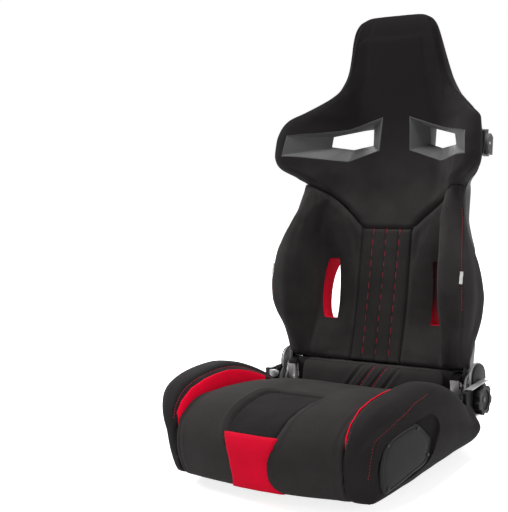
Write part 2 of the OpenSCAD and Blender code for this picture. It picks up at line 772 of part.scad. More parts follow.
module harness_plug(g, fore) {
    // swept between the mouth and the throat, straight out in front and flared behind
    mouth = [for (p = har_mouth) har_pt(p, har_mc, g, 0)];
    thr = [for (p = har_throat) har_pt(p, har_tc, g, 0)];
    out = [for (m = mouth) m - [0, fore, 0]];
    deep = [for (p = har_deep) har_pt(p, har_tc, g, 0)];
    n = 5;
    pts = concat(out, mouth, thr, deep);
    sides = [for (i = [0 : 2]) for (j = [0 : n - 1])
        let (a = i * n + j, b = i * n + (j + 1) % n, c = a + n, d = b + n)
        each [[c, b, a], [c, d, b]]];
    polyhedron(points = pts, faces = concat(sides,
        [[0, 3, 4], [0, 1, 3], [1, 2, 3],
            [19, 18, 15], [18, 16, 15], [18, 17, 16]]),
        convexity = 6);
}

bezel_g = 2.6;

module both_sides() {
    children();
    mirror([1, 0, 0]) children();
}

// outline of the sewn V that parts the shoulder pad from the bolsters
module v_split(m) {
    polygon([[-insert_x, 348 + m], [insert_x, 348 + m], [88, 374 + m], [118, 400 + m],
        [150, 424 + m], [182, 440 + m], [300, 446 + m], [300, 900], [-300, 900],
        [-300, 446 + m], [-182, 440 + m], [-150, 424 + m], [-118, 400 + m], [-88, 374 + m]]);
}

module head_shoulder_pad() {
    color(c_fabric) in_back() difference() {
        intersection() {
            back_form(311, 900);
            depth_prism(-200, 120) v_split(pad_gap);
        }
        both_sides() harness_plug(bezel_g, 60);
        // pocket for the lever housing
        translate([lev_x - 2.3, lev_v - 13.3, lev_w - 4.3]) cube([60, 90, 50.6]);
    }
}

module lower_block() {
    difference() {
        square([700, 1000], center = true);
        v_split(0);
    }
}

ins_st = [for (t = back_st) if (t[0] <= 348) t];

// the insert is thinner low down, where the lower tube passes behind it
function ins_rear(t) = t[0] < 112 ? low_v - hoop_d / 2 - 0.5 : t[11];
function ins_ring(t) = let (x = (insert_x - pad_gap) * back_wid, v = t[2] + 0.15 * (t[4] - t[2]),
    z = t[0] * back_len, r = ins_rear(t))
    [[0, t[2] - 1.2, z], [x / 2, t[2] - 0.6, z], [x, v, z], [x, r, z], [-x, r, z],
    [-x, v, z], [-x / 2, t[2] - 0.6, z]];

module back_insert() {
    color(c_fabric) in_back() loft([for (t = ins_st) ins_ring(t)], fan(7, 3));
}

// room in the pad for the frame leg, the lower tube and its welds
module leg_pocket() {
    translate([leg_in - 0.5, pv - 21, 30]) cube([leg_t + 1, 42, leg_top - 28]);
    rod_x(hoop_d + 1, 0, leg_in + 1, low_v, low_w);
    translate([hoop_x - 4.5, low_v - 7, low_w]) cube([9, 60, hoop_d + 10]);
}

module back_bolster() {
    difference() {
        intersection() {
            back_form(45, 467);
            depth_prism(-200, 120) difference() {
                translate([insert_x, 0]) square([300, 500]);
                v_split(-pad_gap);
            }
        }
        depth_prism(-100, 120) belt_outline(-2.2);
        leg_pocket();
    }
}

module left_back_bolster() { color(c_fabric) mir(-1) in_back() back_bolster(); }
module right_back_bolster() { color(c_fabric) in_back() back_bolster(); }

module belt_liner() {
    difference() {
        intersection() {
            depth_prism(6, 62) belt_outline(-1.9);
            union() {
                back_form(110, 311);
                translate([0, 35, 0]) cube([400, 40, 600]);
            }
        }
        depth_prism(0, 120) belt_outline(0);
    }
}

module left_belt_liner() { color(c_red) mir(-1) in_back() belt_liner(); }
module right_belt_liner() { color(c_red) in_back() belt_liner(); }

module harness_bezel() {
    intersection() {
        difference() {
            harness_plug(bezel_g - pad_gap, 1);
            harness_plug(0, 60);
        }
        translate([0, -200, 400]) cube([400, 200 + 66, 400]);
    }
}

module left_harness_bezel() { color(c_grey) mir(-1) in_back() harness_bezel(); }
module right_harness_bezel() { color(c_grey) in_back() harness_bezel(); }

// rear cover: a shell behind the pads
// sideways places of the cover's shoulder and flank, by height
cov_a = [[45, 203], [300, 203], [345, 186], [385, 178], [447, 175], [467, 172], [600, 170],
    [640, 150], [700, 118]];
cov_b = [[45, 189], [290, 189], [345, 174], [380, 161], [600, 160], [640, 138], [700, 104]];

cov_bulge = [[45, 34], [600, 34], [780, 23], [802, 18], [818, 12], [828, 6]];

function pad_edge_x(t) = t[1] - 0.11 * (t[1] - t[3]);
function pad_rear_v(t, x) = let (xe = pad_edge_x(t), xi = pad_rear_x(t))
    x < xi ? t[11] : t[10] + (xe - x) / (xe - xi) * (t[11] - t[10]);

// extra room at the cover's edge where the pad's side swells quickly
cov_ease = [[432, 0], [447, 3.2], [467, 2.8], [481, 0], [584, 0], [605, 2], [628, 2.2],
    [650, 1.6], [670, 1], [700, 0]];

// right half of the cover from its front edge to the middle, g in from the outside
function cov_half(t, g) = let (w = t[0], vp = t[11], xr = 0.95 * t[1] - 6 - g,
    rise = g > 0 ? 2 : 5 + (w < 130 ? 3 : 0), bulge = lookup(w, cov_bulge) - g,
    xa = min(xr - 3, lookup(w, cov_a) - g), xb = min(xr - 12, lookup(w, cov_b) - g),
    ease = lookup(w, cov_ease))
    [[xr, pad_rear_v(t, xr) + 3.5 * pad_gap + ease],
    [xr, pad_rear_v(t, xr) + rise + ease],
    [xa, vp + min(w < 300 ? 22 : 16, lookup(w, cov_bulge) - 2) - g],
    [xb, vp + 0.82 * bulge], [0.5 * xb, vp + bulge], [0, vp + bulge]];

function cov_ring(t) = let (o = cov_half(t, 0), i = cov_half(t, cover_t), n = len(o),
    z = t[0] * back_len)
    concat([for (k = [0 : n - 1]) [bx(t, o[k][0]), o[k][1], z]],
        [for (k = [n - 2 : -1 : 0]) [-bx(t, o[k][0]), o[k][1], z]],
        [for (k = [0 : n - 1]) [-bx(t, i[k][0]), i[k][1], z]],
        [for (k = [n - 2 : -1 : 0]) [bx(t, i[k][0]), i[k][1], z]]);

// faces that close the shell's ends
cov_n = 2 * (2 * len(cov_half(back_st[0], 0)) - 1);
cov_cap = [for (j = [0 : cov_n / 2 - 2]) each let (a = cov_n - 1 - j)
    [[j, j + 1, a], [j + 1, a - 1, a]]];

module rear_cover() {
    color(c_black) in_back() difference() {
        loft([for (t = back_st) cov_ring(t)], cov_cap);
        both_sides() {
            harness_plug(bezel_g, 60);
            depth_prism(20, 120) belt_outline(-cover_slot_gap);
            translate([leg_in - 1, pv - 23, 0]) cube([leg_t + 2, 46, leg_top + 3]);
        }
        rod_x(hoop_d + 2, -leg_in - 1, leg_in + 1, low_v, low_w);
        translate([lev_x - 2.3, lev_v - 13.3, lev_w - 4.3]) cube([60, 33, 50.6]);
    }
}

// woven tags sewn into the side seams
module tag() {
    translate([239 * back_wid, -88, 222 * back_len]) rotate([0, 0, 24]) cube([5, 1, 26]);
}

module left_tag() { color(c_grey) mir(-1) in_back() tag(); }
module right_tag() { color(c_grey) in_back() tag(); }

// ---------------------------------------------------------------- fold lever

lev_x = 240 * back_wid;
lev_w = 508 * back_len;
lev_v = -50;

module lever_housing() {
    color(c_black) in_back() difference() {
        translate([lev_x - 2, lev_v - 13, lev_w - 4]) cube([12, 32, 50]);
        translate([lev_x + 2, lev_v - 9, lev_w - 2]) cube([20, 40, 48]);
        rod_x(6 + 0.1, lev_x - 3, lev_x + 16, lev_v + 6, lev_w + 22);
    }
}

module fold_lever() {
    color(c_grey) in_back() difference() {
        union() {
            translate([lev_x + 3, lev_v + 6, lev_w + 22]) rotate([0, 90, 0])
                cylinder(d = 14, h = 12, $fn = 48);
            translate([lev_x + 3, 0, 0]) rotate([90, 0, 90]) linear_extrude(height = 12)
                polygon([[lev_v - 4, lev_w + 16.5], [lev_v + 6, lev_w], [lev_v + 24, lev_w],
                    [lev_v + 20, lev_w + 38], [lev_v + 8, lev_w + 44],
                    [lev_v - 4, lev_w + 27.5]]);
        }
        rod_x(6 + 2 * run_clear, lev_x + 2, lev_x + 20, lev_v + 6, lev_w + 22);
    }
}

module lever_pin() {
    color(c_steel) in_back() rod_x(6, lev_x - 3, lev_x + 15.5, lev_v + 6, lev_w + 22);
}

// ---------------------------------------------------------------- output

left_rail();
right_rail();
front_cross_tube();
rear_cross_tube();
seat_pan();
left_side_support();
right_side_support();
mount_nuts();
seat_cushion();
cushion_center_pad();
front_insert();
rear_roll();
left_bolster();
right_bolster();
left_accent();
right_accent();
left_side_plate();
right_side_plate();
left_bracket();
right_bracket();
bracket_bolts();
left_recliner_disc();
right_recliner_disc();
left_pivot_cover();
right_pivot_cover();
left_side_shield();
right_side_shield();
left_recliner_arm();
right_recliner_arm();
latch_studs();
cross_shaft();
left_hand_wheel();
right_hand_wheel();
left_frame_leg();
right_frame_leg();
back_lower_tube();
back_hoop();
lumbar_tube();
head_frame();
rear_cover();
back_insert();
left_back_bolster();
right_back_bolster();
head_shoulder_pad();
left_harness_bezel();
right_harness_bezel();
left_belt_liner();
right_belt_liner();
left_tag();
right_tag();
lever_housing();
fold_lever();
lever_pin();
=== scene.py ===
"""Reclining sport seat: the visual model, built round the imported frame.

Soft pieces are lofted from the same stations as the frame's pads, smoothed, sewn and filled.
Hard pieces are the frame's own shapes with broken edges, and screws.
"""

import json
import logging
import math
from contextlib import contextmanager
from dataclasses import dataclass, field
from enum import Enum
from typing import Callable, Iterable, Iterator, Sequence

import bmesh
import bpy
import numpy as np
from mathutils import Matrix, Vector
from mathutils.bvhtree import BVHTree
from mathutils.kdtree import KDTree

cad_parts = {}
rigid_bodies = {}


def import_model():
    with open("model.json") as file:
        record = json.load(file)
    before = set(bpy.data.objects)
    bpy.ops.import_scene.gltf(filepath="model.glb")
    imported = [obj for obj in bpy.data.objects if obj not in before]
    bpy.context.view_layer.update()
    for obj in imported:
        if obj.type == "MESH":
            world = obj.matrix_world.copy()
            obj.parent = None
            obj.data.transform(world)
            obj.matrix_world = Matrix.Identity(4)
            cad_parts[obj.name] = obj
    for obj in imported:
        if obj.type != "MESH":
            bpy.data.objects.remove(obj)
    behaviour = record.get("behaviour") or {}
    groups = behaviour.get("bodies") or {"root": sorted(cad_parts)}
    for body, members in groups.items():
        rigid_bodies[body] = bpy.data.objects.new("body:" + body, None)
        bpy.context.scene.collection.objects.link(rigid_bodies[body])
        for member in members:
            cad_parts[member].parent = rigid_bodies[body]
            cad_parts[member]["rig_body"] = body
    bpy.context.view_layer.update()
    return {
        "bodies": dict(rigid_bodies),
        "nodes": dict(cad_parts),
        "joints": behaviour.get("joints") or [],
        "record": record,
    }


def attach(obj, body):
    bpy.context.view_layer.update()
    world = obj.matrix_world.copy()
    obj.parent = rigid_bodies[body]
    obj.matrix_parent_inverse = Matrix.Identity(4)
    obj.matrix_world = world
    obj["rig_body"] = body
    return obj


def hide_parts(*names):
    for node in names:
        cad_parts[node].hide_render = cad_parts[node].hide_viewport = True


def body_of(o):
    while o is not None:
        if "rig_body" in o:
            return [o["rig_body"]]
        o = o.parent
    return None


LOG = logging.getLogger("seat")
MM = 0.001
TILT = math.radians(18.0)
BACK_ORIGIN = np.array([0.0, 149.6, 123.5])
# The ribbed cloth's pitch, the frames a cover swells for, and how many distances are held at once.
RIB_MM = 3.6
CLOTH_FRAMES = 20
PAIRS_AT_ONCE = 4_000_000

Array = np.ndarray


class Side(Enum):
    """The two sides of the seat, by the sign of X."""

    LEFT = -1
    RIGHT = 1

    @property
    def word(self) -> str:
        """The side's name as the frame's nodes spell it."""
        return self.name.lower()


# ---------------------------------------------------------------- shader building


def operator(kind: str, flipped: bool = False) -> Callable[["Value", "Number"], "Value"]:
    """One arithmetic operator, as a method that adds a Math node.

    Args:
        kind: The node's operation.
        flipped: True where the Value stands on the right.

    Returns:
        The method.
    """

    def act(self: "Value", other: "Number") -> "Value":
        """Adds the node."""
        return self.shader.math(kind, other, self) if flipped else self.shader.math(kind, self, other)

    return act


class Value:
    """A shader socket that takes part in arithmetic by adding Math nodes."""

    def __init__(self, shader: "Shader", socket: bpy.types.NodeSocket) -> None:
        """Wraps a socket.

        Args:
            shader: The shader whose tree the socket is in.
            socket: The output socket.
        """
        self.shader = shader
        self.socket = socket

    __add__, __radd__ = operator("ADD"), operator("ADD", True)
    __sub__, __rsub__ = operator("SUBTRACT"), operator("SUBTRACT", True)
    __mul__, __rmul__ = operator("MULTIPLY"), operator("MULTIPLY", True)


Number = float | Value


def feed(tree: bpy.types.NodeTree, socket: bpy.types.NodeSocket, value: object) -> None:
    """Links or sets one input.

    Args:
        tree: The tree it is in.
        socket: The input.
        value: A Value or socket to link, or a plain value.
    """
    value = value.socket if isinstance(value, Value) else value
    if isinstance(value, bpy.types.NodeSocket):
        tree.links.new(value, socket)
    else:
        socket.default_value = value


def add_node(tree: bpy.types.NodeTree, kind: str, settings: dict | None = None,
             inputs: dict | None = None) -> bpy.types.Node:
    """Adds a node, sets its options, then its input values or links.

    Args:
        tree: The tree it goes in.
        kind: The node's type.
        settings: Options to set on the node itself.
        inputs: Values, sockets or Values, by input name or index.

    Returns:
        The node.
    """
    made = tree.nodes.new(kind)
    for key, value in (settings or {}).items():
        setattr(made, key, value)
    for key, value in (inputs or {}).items():
        feed(tree, made.inputs[key], value)
    return made


class Shader:
    """A material with one Principled shader and short ways to feed it."""

    def __init__(self, name: str) -> None:
        """Starts a material.

        Args:
            name: The material's name.
        """
        self.material = bpy.data.materials.new(name)
        self.material.use_nodes = True
        self.tree = self.material.node_tree
        self.tree.nodes.clear()
        self.surface = self.node("ShaderNodeBsdfPrincipled")
        self.node("ShaderNodeOutputMaterial", None, {0: self.surface.outputs[0]})

    def node(self, kind: str, settings: dict | None = None, inputs: dict | None = None) -> bpy.types.Node:
        """Adds a node to the material."""
        return add_node(self.tree, kind, settings, inputs)

    def feed(self, name: str, value: object) -> None:
        """Feeds one of the surface's inputs."""
        feed(self.tree, self.surface.inputs[name], value)

    def math(self, kind: str, first: Number, second: Number = 0.0) -> Value:
        """One Math node.

        Args:
            kind: The node's operation.
            first: First input.
            second: Second input.

        Returns:
            The result.
        """
        made = self.node("ShaderNodeMath", {"operation": kind}, {0: first, 1: second})
        return Value(self, made.outputs[0])

    def axes(self) -> tuple[Value, Value, Value]:
        """Object coordinates, in millimetres, one Value an axis.

        Returns:
            The Values of x, y and z.
        """
        place = self.node("ShaderNodeTexCoord").outputs["Object"]
        parts = self.node("ShaderNodeSeparateXYZ", None, {0: place}).outputs
        return tuple(Value(self, parts[i]) * 1000.0 for i in range(3))

    def noise(self, scale: float, detail: float = 2.0, rough: float = 0.5) -> Value:
        """Noise over the object, from 0 to 1.

        Args:
            scale: Features a metre.
            detail: Octaves.
            rough: Weight of the finer octaves.

        Returns:
            The noise.
        """
        place = self.node("ShaderNodeTexCoord").outputs["Object"]
        made = self.node("ShaderNodeTexNoise", None,
                         {"Vector": place, "Scale": scale, "Detail": detail, "Roughness": rough})
        return Value(self, made.outputs["Fac"])

    def cells(self, scale: float) -> Value:
        """Distance to the nearest cell centre of a random cell pattern.

        Args:
            scale: Cells a metre.

        Returns:
            The distance, about 0 to 1.
        """
        place = self.node("ShaderNodeTexCoord").outputs["Object"]
        made = self.node("ShaderNodeTexVoronoi", None, {"Vector": place, "Scale": scale})
        return Value(self, made.outputs["Distance"])

    def ramp(self, value: Value, low: float, high: float) -> Value:
        """Maps low..high to 0..1, clamped.

        Args:
            value: What is mapped.
            low: What becomes 0.
            high: What becomes 1.

        Returns:
            The result.
        """
        made = self.node("ShaderNodeMapRange", {"clamp": True},
                         {"Value": value, "From Min": low, "From Max": high})
        return Value(self, made.outputs[0])

    def mix(self, mask: Number, first: Sequence[float], second: Sequence[float]) -> bpy.types.NodeSocket:
        """Mixes two colours.

        Args:
            mask: 0 for the first, 1 for the second.
            first: A colour.
            second: A colour.

        Returns:
            The colour socket.
        """
        first, second = (c if isinstance(c, bpy.types.NodeSocket) else (*c, 1.0) for c in (first, second))
        return self.node("ShaderNodeMix", {"data_type": "RGBA"}, {0: mask, 6: first, 7: second}).outputs[2]

    def bump(self, height: Value, strength: float, depth_mm: float) -> None:
        """Feeds the surface normal from a height.

        Args:
            height: Height, 0 to 1.
            strength: Bump strength.
            depth_mm: What height 1 stands for, in millimetres.
        """
        made = self.node("ShaderNodeBump", None,
                         {"Strength": strength, "Distance": depth_mm * MM, "Height": height})
        self.feed("Normal", made.outputs[0])

    def set(self, **values: float) -> None:
        """Sets constants on the surface, by input name with _ for a space."""
        for key, value in values.items():
            self.surface.inputs[key.replace("_", " ")].default_value = value

    def sine(self, value: Value, pitch: float) -> Value:
        """A wave from 0 to 1 along a value in millimetres."""
        return self.math("SINE", value * (2 * math.pi / pitch)) * 0.5 + 0.5


# ---------------------------------------------------------------- finishes


@dataclass(frozen=True)
class Cloth:
    """A woven or knitted cover cloth."""

    name: str
    dark: tuple[float, float, float]
    light: tuple[float, float, float]
    thread_mm: float = 1.3
    rib_mm: float = 0.0
    roughness: float = 0.9
    sheen: float = 0.03
    # Painted shade: (low, high, least) darkens the colour from the low height to the high one, in
    # millimetres, down to the least share.
    fade: tuple[float, float, float] | None = None

    def make(self) -> bpy.types.Material:
        """Builds the material: threads, slubs, faint shading of the nap, if asked painted shade that darkens
        it upwards, and, if asked, ribs.

        Returns:
            The material.
        """
        s = Shader(self.name)
        x, y, z = s.axes()
        warp = s.sine(x + y * 0.35, self.thread_mm)
        weft = s.sine(z - y * 0.8, self.thread_mm)
        weave = s.math("MAXIMUM", warp * (1.0 - weft * 0.6), weft * (1.0 - warp * 0.6))
        fuzz = s.noise(1400.0, 3.0, 0.6)
        nap = s.noise(14.0, 3.0, 0.55)
        tone = s.ramp(weave * 0.45 + fuzz * 0.35 + nap * 0.6, 0.35, 1.05)
        # Painted shade, growing from the low height up to the high one.
        if self.fade:
            low, high, least = self.fade
            tone = tone * (1.0 - s.ramp(z, low, high) * (1.0 - least))
        height = weave * 0.7 + fuzz * 0.5
        if self.rib_mm:
            rib = s.sine(x, self.rib_mm)
            tone = tone * (0.35 + rib * 0.65)
            height = height * 0.4 + rib
        s.feed("Base Color", s.mix(tone, self.dark, self.light))
        s.feed("Roughness", self.roughness + (nap - 0.5) * 0.12)
        s.bump(height, 0.55, 0.25)
        s.set(Sheen_Weight=self.sheen, Sheen_Roughness=0.45, Specular_IOR_Level=0.1)
        s.feed("Sheen Tint", (*[min(1.0, c * 6 + 0.25) for c in self.light], 1.0))
        return s.material


@dataclass(frozen=True)
class Moulded:
    """Grained moulded plastic."""

    name: str
    base: tuple[float, float, float]
    roughness: float = 0.5
    grain: float = 0.35
    shine: float = 0.5

    def make(self) -> bpy.types.Material:
        """Builds the material: leathery grain, slight flow marks and handling gloss.

        Returns:
            The material.
        """
        s = Shader(self.name)
        grain = s.cells(900.0)
        flow = s.noise(9.0, 4.0, 0.6)
        worn = s.ramp(s.noise(38.0, 5.0, 0.65), 0.52, 0.8)
        dark = tuple(c * 0.82 for c in self.base)
        light = tuple(min(1.0, c * 1.16) for c in self.base)
        s.feed("Base Color", s.mix(flow * 0.8 + worn * 0.2, dark, light))
        s.feed("Roughness", self.roughness + grain * 0.1 - worn * 0.08)
        s.bump(grain, self.grain, 0.12)
        s.set(Specular_IOR_Level=self.shine)
        return s.material


@dataclass(frozen=True)
class Painted:
    """Painted or plated sheet steel."""

    name: str
    base: tuple[float, float, float]
    roughness: float = 0.42
    metallic: float = 0.0
    brushed: float = 0.0

    def make(self) -> bpy.types.Material:
        """Builds the material: orange peel, dulled patches and, if asked, fine drawing lines.

        Returns:
            The material.
        """
        s = Shader(self.name)
        _, y, _ = s.axes()
        peel = s.noise(520.0, 2.0)
        dull = s.ramp(s.noise(24.0, 4.0, 0.6), 0.42, 0.72)
        light = tuple(min(1.0, c * 1.25) for c in self.base)
        s.feed("Base Color", s.mix(dull, self.base, light))
        lines = s.sine(y + s.noise(60.0) * 6.0, 0.9) * self.brushed
        s.feed("Roughness", self.roughness + dull * 0.12 + lines * 0.1)
        s.bump(peel + lines, 0.25, 0.06)
        s.set(Metallic=self.metallic)
        return s.material


@dataclass(frozen=True)
class Thread:
    """Twisted sewing thread."""

    name: str
    base: tuple[float, float, float]

    def make(self) -> bpy.types.Material:
        """Builds the material: a fine twist and a soft shine.

        Returns:
            The material.
        """
        s = Shader(self.name)
        x, y, z = s.axes()
        twist = s.sine(x + y + z, 0.7)
        dark = tuple(c * 0.7 for c in self.base)
        s.feed("Base Color", s.mix(twist, dark, self.base))
        s.feed("Roughness", 0.45 + s.noise(300.0) * 0.2)
        s.bump(twist, 0.5, 0.1)
        s.set(Sheen_Weight=0.1, Specular_IOR_Level=0.2)
        return s.material


class Finishes:
    """Every finish on the seat, made once."""

    def __init__(self) -> None:
        """Builds the materials."""
        # The back's black knit carries painted shade: it darkens from 520 mm up to 700 mm high.
        self.knit = Cloth("black_knit", (0.0058, 0.0050, 0.0051), (0.042, 0.0378, 0.0378),
                          fade=(520, 700, 0.12)).make()
        # The same knit painted lighter, for the cushion and roll lying in the overhead light: painted light.
        self.seat_knit = Cloth("seat_knit", (0.0110, 0.0097, 0.0097), (0.0335, 0.0301, 0.0301)).make()
        self.pad_knit = Cloth("pad_knit", (0.0045, 0.0040, 0.0040), (0.0170, 0.0152, 0.0152)).make()
        self.side_knit = Cloth("side_knit", (0.0072, 0.0065, 0.0065), (0.020, 0.018, 0.018)).make()
        self.ribbed = Cloth("ribbed_knit", (0.0125, 0.0112, 0.0110), (0.042, 0.0375, 0.037),
                            rib_mm=RIB_MM).make()
        self.red = Cloth("red_cloth", (0.40, 0.0008, 0.012), (0.66, 0.0014, 0.028), sheen=0.0).make()
        self.accent = Cloth("accent_red", (0.74, 0.0014, 0.020), (0.97, 0.0020, 0.040), sheen=0.0).make()
        # A copy of the red cloth with painted shade: a far darker dark tone, and darker still from 255 mm up
        # to 305 mm high.
        self.shaded = Cloth("shaded_red", (0.010, 0.0005, 0.001), (0.66, 0.0014, 0.028), sheen=0.0,
                            fade=(255, 305, 0.06)).make()
        self.tag = Cloth("tag_weave", (0.42, 0.42, 0.42), (0.72, 0.72, 0.72), thread_mm=0.8).make()
        self.thread = Thread("red_thread", (0.52, 0.002, 0.035)).make()
        self.grey = Moulded("grey_plastic", (0.080, 0.080, 0.081), 0.5, shine=0.2).make()
        self.black = Moulded("black_plastic", (0.0045, 0.0043, 0.0043), 0.5, shine=0.22).make()
        self.plate = Moulded("plate_plastic", (0.0068, 0.0065, 0.0065), 0.48, shine=0.18).make()
        self.steel = Painted("bracket_paint", (0.36, 0.352, 0.353), 0.42, 0.3).make()
        self.catch = Painted("catch_metal", (0.42, 0.42, 0.42), 0.45, 0.3).make()
        self.frame = Painted("frame_paint", (0.008, 0.008, 0.008), 0.38).make()
        self.zinc = Painted("zinc_plate", (0.45, 0.45, 0.45), 0.3, 1.0, 1.0).make()
        # A plain light grey, half metallic finish for the ledges over the hand wheels.
        self.edge = Painted("worn_edge", (0.42, 0.42, 0.42), 0.35, 0.5).make()
        self.screw = Painted("black_screw", (0.035, 0.035, 0.035), 0.35, 0.6).make()


# ---------------------------------------------------------------- mesh building


def pchip_slopes(t: Array, rows: Array) -> Array:
    """Slopes of a curve through rows that never overshoots them.

    Args:
        t: Station places, rising, (m,).
        rows: Values at the stations, (m, ...).

    Returns:
        Slopes, in the shape of rows.
    """
    h = np.diff(t).reshape((-1,) + (1,) * (rows.ndim - 1))
    d = np.diff(rows, axis=0) / h
    out = np.zeros_like(rows)
    out[0], out[-1] = d[0], d[-1]
    a, b, ha, hb = d[:-1], d[1:], h[:-1], h[1:]
    w1, w2 = 2 * hb + ha, hb + 2 * ha
    same = a * b > 0
    with np.errstate(divide="ignore", invalid="ignore"):
        mean = (w1 + w2) / (w1 / a + w2 / b)
    out[1:-1] = np.where(same, mean, 0.0)
    return out


def hermite(t: Array, p: Array, q: Array, m: Array, n: Array) -> Array:
    """Cubic from p to q with end slopes m and n, at t from 0 to 1."""
    t2, t3 = t * t, t * t * t
    return (2 * t3 - 3 * t2 + 1) * p + (t3 - 2 * t2 + t) * m + (3 * t2 - 2 * t3) * q + (t3 - t2) * n


def on_rings(rings: Array, s: Array, corners: Iterable[int] = ()) -> Array:
    """Points on smooth closed curves through rings of points.

    Args:
        rings: One ring for each row, (n, k, d).
        s: Places on the ring, counted in points, (n, c).
        corners: Points where the curve keeps a corner.

    Returns:
        Points, (n, c, d).
    """
    k = rings.shape[1]
    ahead, back = np.roll(rings, -1, 1) - rings, rings - np.roll(rings, 1, 1)
    ha = np.linalg.norm(ahead, axis=2, keepdims=True) + 1e-6
    hb = np.linalg.norm(back, axis=2, keepdims=True) + 1e-6
    da, db = ahead / ha, back / hb
    middle = (da * hb + db * ha) / (ha + hb)
    leave, arrive = middle.copy(), middle.copy()
    for c in corners:
        leave[:, c], arrive[:, c] = da[:, c], db[:, c]
    i = np.floor(s).astype(int)
    t = (s - i)[..., None]
    i, j = i % k, (i + 1) % k
    rows = np.arange(len(rings))[:, None]
    h = ha[rows, i]
    return hermite(t, rings[rows, i], rings[rows, j], leave[rows, i] * h, arrive[rows, j] * h)


@dataclass
class Loft:
    """A smooth surface through rings at stations."""

    t: Array
    rings: Array
    corners: tuple[int, ...] = ()
    slopes: Array = field(init=False)

    def __post_init__(self) -> None:
        """Works out the slopes from station to station."""
        self.slopes = pchip_slopes(self.t, self.rings)

    def ring_at(self, t: Array) -> Array:
        """Rings at any places between the stations.

        Args:
            t: Places, (n,).

        Returns:
            Rings, (n, k, d).
        """
        i = np.clip(np.searchsorted(self.t, t, side="right") - 1, 0, len(self.t) - 2)
        h = (self.t[i + 1] - self.t[i])[:, None, None]
        u = ((t - self.t[i]))[:, None, None] / h
        return hermite(u, self.rings[i], self.rings[i + 1], self.slopes[i] * h, self.slopes[i + 1] * h)

    def points(self, t: Array, s: Array) -> Array:
        """Surface points, one for each pair of t and s, any shape."""
        flat = on_rings(self.ring_at(t.ravel()), s.reshape(-1, 1), self.corners)
        return flat.reshape(t.shape + (flat.shape[-1],))


def even_steps(curve: Array, s: Array, step: float) -> Array:
    """Places on a curve that lie about one step apart.

    Args:
        curve: Points on the curve at places s, (n, d).
        s: The places, rising.
        step: Wanted spacing.

    Returns:
        Places, rising, with both ends.
    """
    run = np.concatenate([[0.0], np.cumsum(np.linalg.norm(np.diff(curve, axis=0), axis=1))])
    count = max(2, int(round(run[-1] / step)) + 1)
    return np.interp(np.linspace(0, run[-1], count), run, s)


def close_in(low: Array, high: Array, rounds: int, short: Callable[[Array], Array]) -> tuple[Array, Array]:
    """Closes in on the places where a test turns from true to false.

    Args:
        low: Places where it is true.
        high: Places where it is false.
        rounds: Times the gap is halved.
        short: The test, over places in the shape of low.

    Returns:
        The last low and high places.
    """
    for _ in range(rounds):
        middle = 0.5 * (low + high)
        still = short(middle)
        low, high = np.where(still, middle, low), np.where(still, high, middle)
    return low, high


def back_to_world(p: Array) -> Array:
    """Turns (x, v, w) of the tilted back into (x, y, z), both in millimetres.

    Args:
        p: Points, (..., 3).

    Returns:
        The points, in the same shape.
    """
    c, s = math.cos(TILT), math.sin(TILT)
    out = np.empty_like(p)
    out[..., 0] = p[..., 0]
    out[..., 1] = BACK_ORIGIN[1] + p[..., 1] * c + p[..., 2] * s
    out[..., 2] = BACK_ORIGIN[2] - p[..., 1] * s + p[..., 2] * c
    return out


def add_object(name: str, data: bpy.types.ID) -> bpy.types.Object:
    """Adds an object to the scene.

    Args:
        name: Its name.
        data: Its mesh, lamp or camera.

    Returns:
        The object.
    """
    obj = bpy.data.objects.new(name, data)
    bpy.context.scene.collection.objects.link(obj)
    return obj


@contextmanager
def opened(obj: bpy.types.Object, keep: bool = True) -> Iterator[bmesh.types.BMesh]:
    """Opens a piece's mesh for editing.

    Args:
        obj: The piece.
        keep: Writes the mesh back at the end.

    Yields:
        The open mesh.
    """
    bm = bmesh.new()
    bm.from_mesh(obj.data)
    yield bm
    if keep:
        bm.to_mesh(obj.data)
    bm.free()


def new_object(name: str, verts: Array, faces: Sequence[Sequence[int]]) -> bpy.types.Object:
    """Makes a mesh object from points in millimetres.

    Args:
        name: The piece's name.
        verts: Points, (n, 3), in millimetres.
        faces: Point numbers of each face.

    Returns:
        The object, linked to the scene.
    """
    mesh = bpy.data.meshes.new(name)
    mesh.from_pydata((np.asarray(verts) * MM).tolist(), [], faces)
    mesh.validate()
    return add_object(name, mesh)


def grid_object(name: str, grid: Array, wrap: bool = False, caps: bool = False) -> bpy.types.Object:
    """A mesh over a grid of points, with its faces outwards.

    Args:
        name: The piece's name.
        grid: Points in rows and columns, (r, c, 3), in millimetres.
        wrap: Joins the last column to the first.
        caps: Closes the first and last rows.

    Returns:
        The object.
    """
    r, c = grid.shape[:2]
    last = c if wrap else c - 1
    faces = [[i * c + j, i * c + (j + 1) % c, (i + 1) * c + (j + 1) % c, (i + 1) * c + j]
             for i in range(r - 1) for j in range(last)]
    if caps:
        faces += [list(range(c))[::-1], list(range((r - 1) * c, r * c))]
    obj = new_object(name, grid.reshape(-1, 3), faces)
    tidy_normals(obj)
    return obj


def tidy_normals(obj: bpy.types.Object, merge_mm: float = 0.01) -> None:
    """Merges doubles and turns all faces outwards.

    Args:
        obj: The piece.
        merge_mm: Points nearer than this become one.
    """
    with opened(obj) as bm:
        bmesh.ops.remove_doubles(bm, verts=bm.verts, dist=merge_mm * MM)
        bmesh.ops.recalc_face_normals(bm, faces=bm.faces)


def close_ends(obj: bpy.types.Object) -> None:
    """Closes a pad's open ends.

    Args:
        obj: The pad.
    """
    with opened(obj) as bm:
        caps = bmesh.ops.holes_fill(bm, edges=[e for e in bm.edges if e.is_boundary], sides=0)["faces"]
        bmesh.ops.triangulate(bm, faces=caps)
        bmesh.ops.recalc_face_normals(bm, faces=bm.faces)


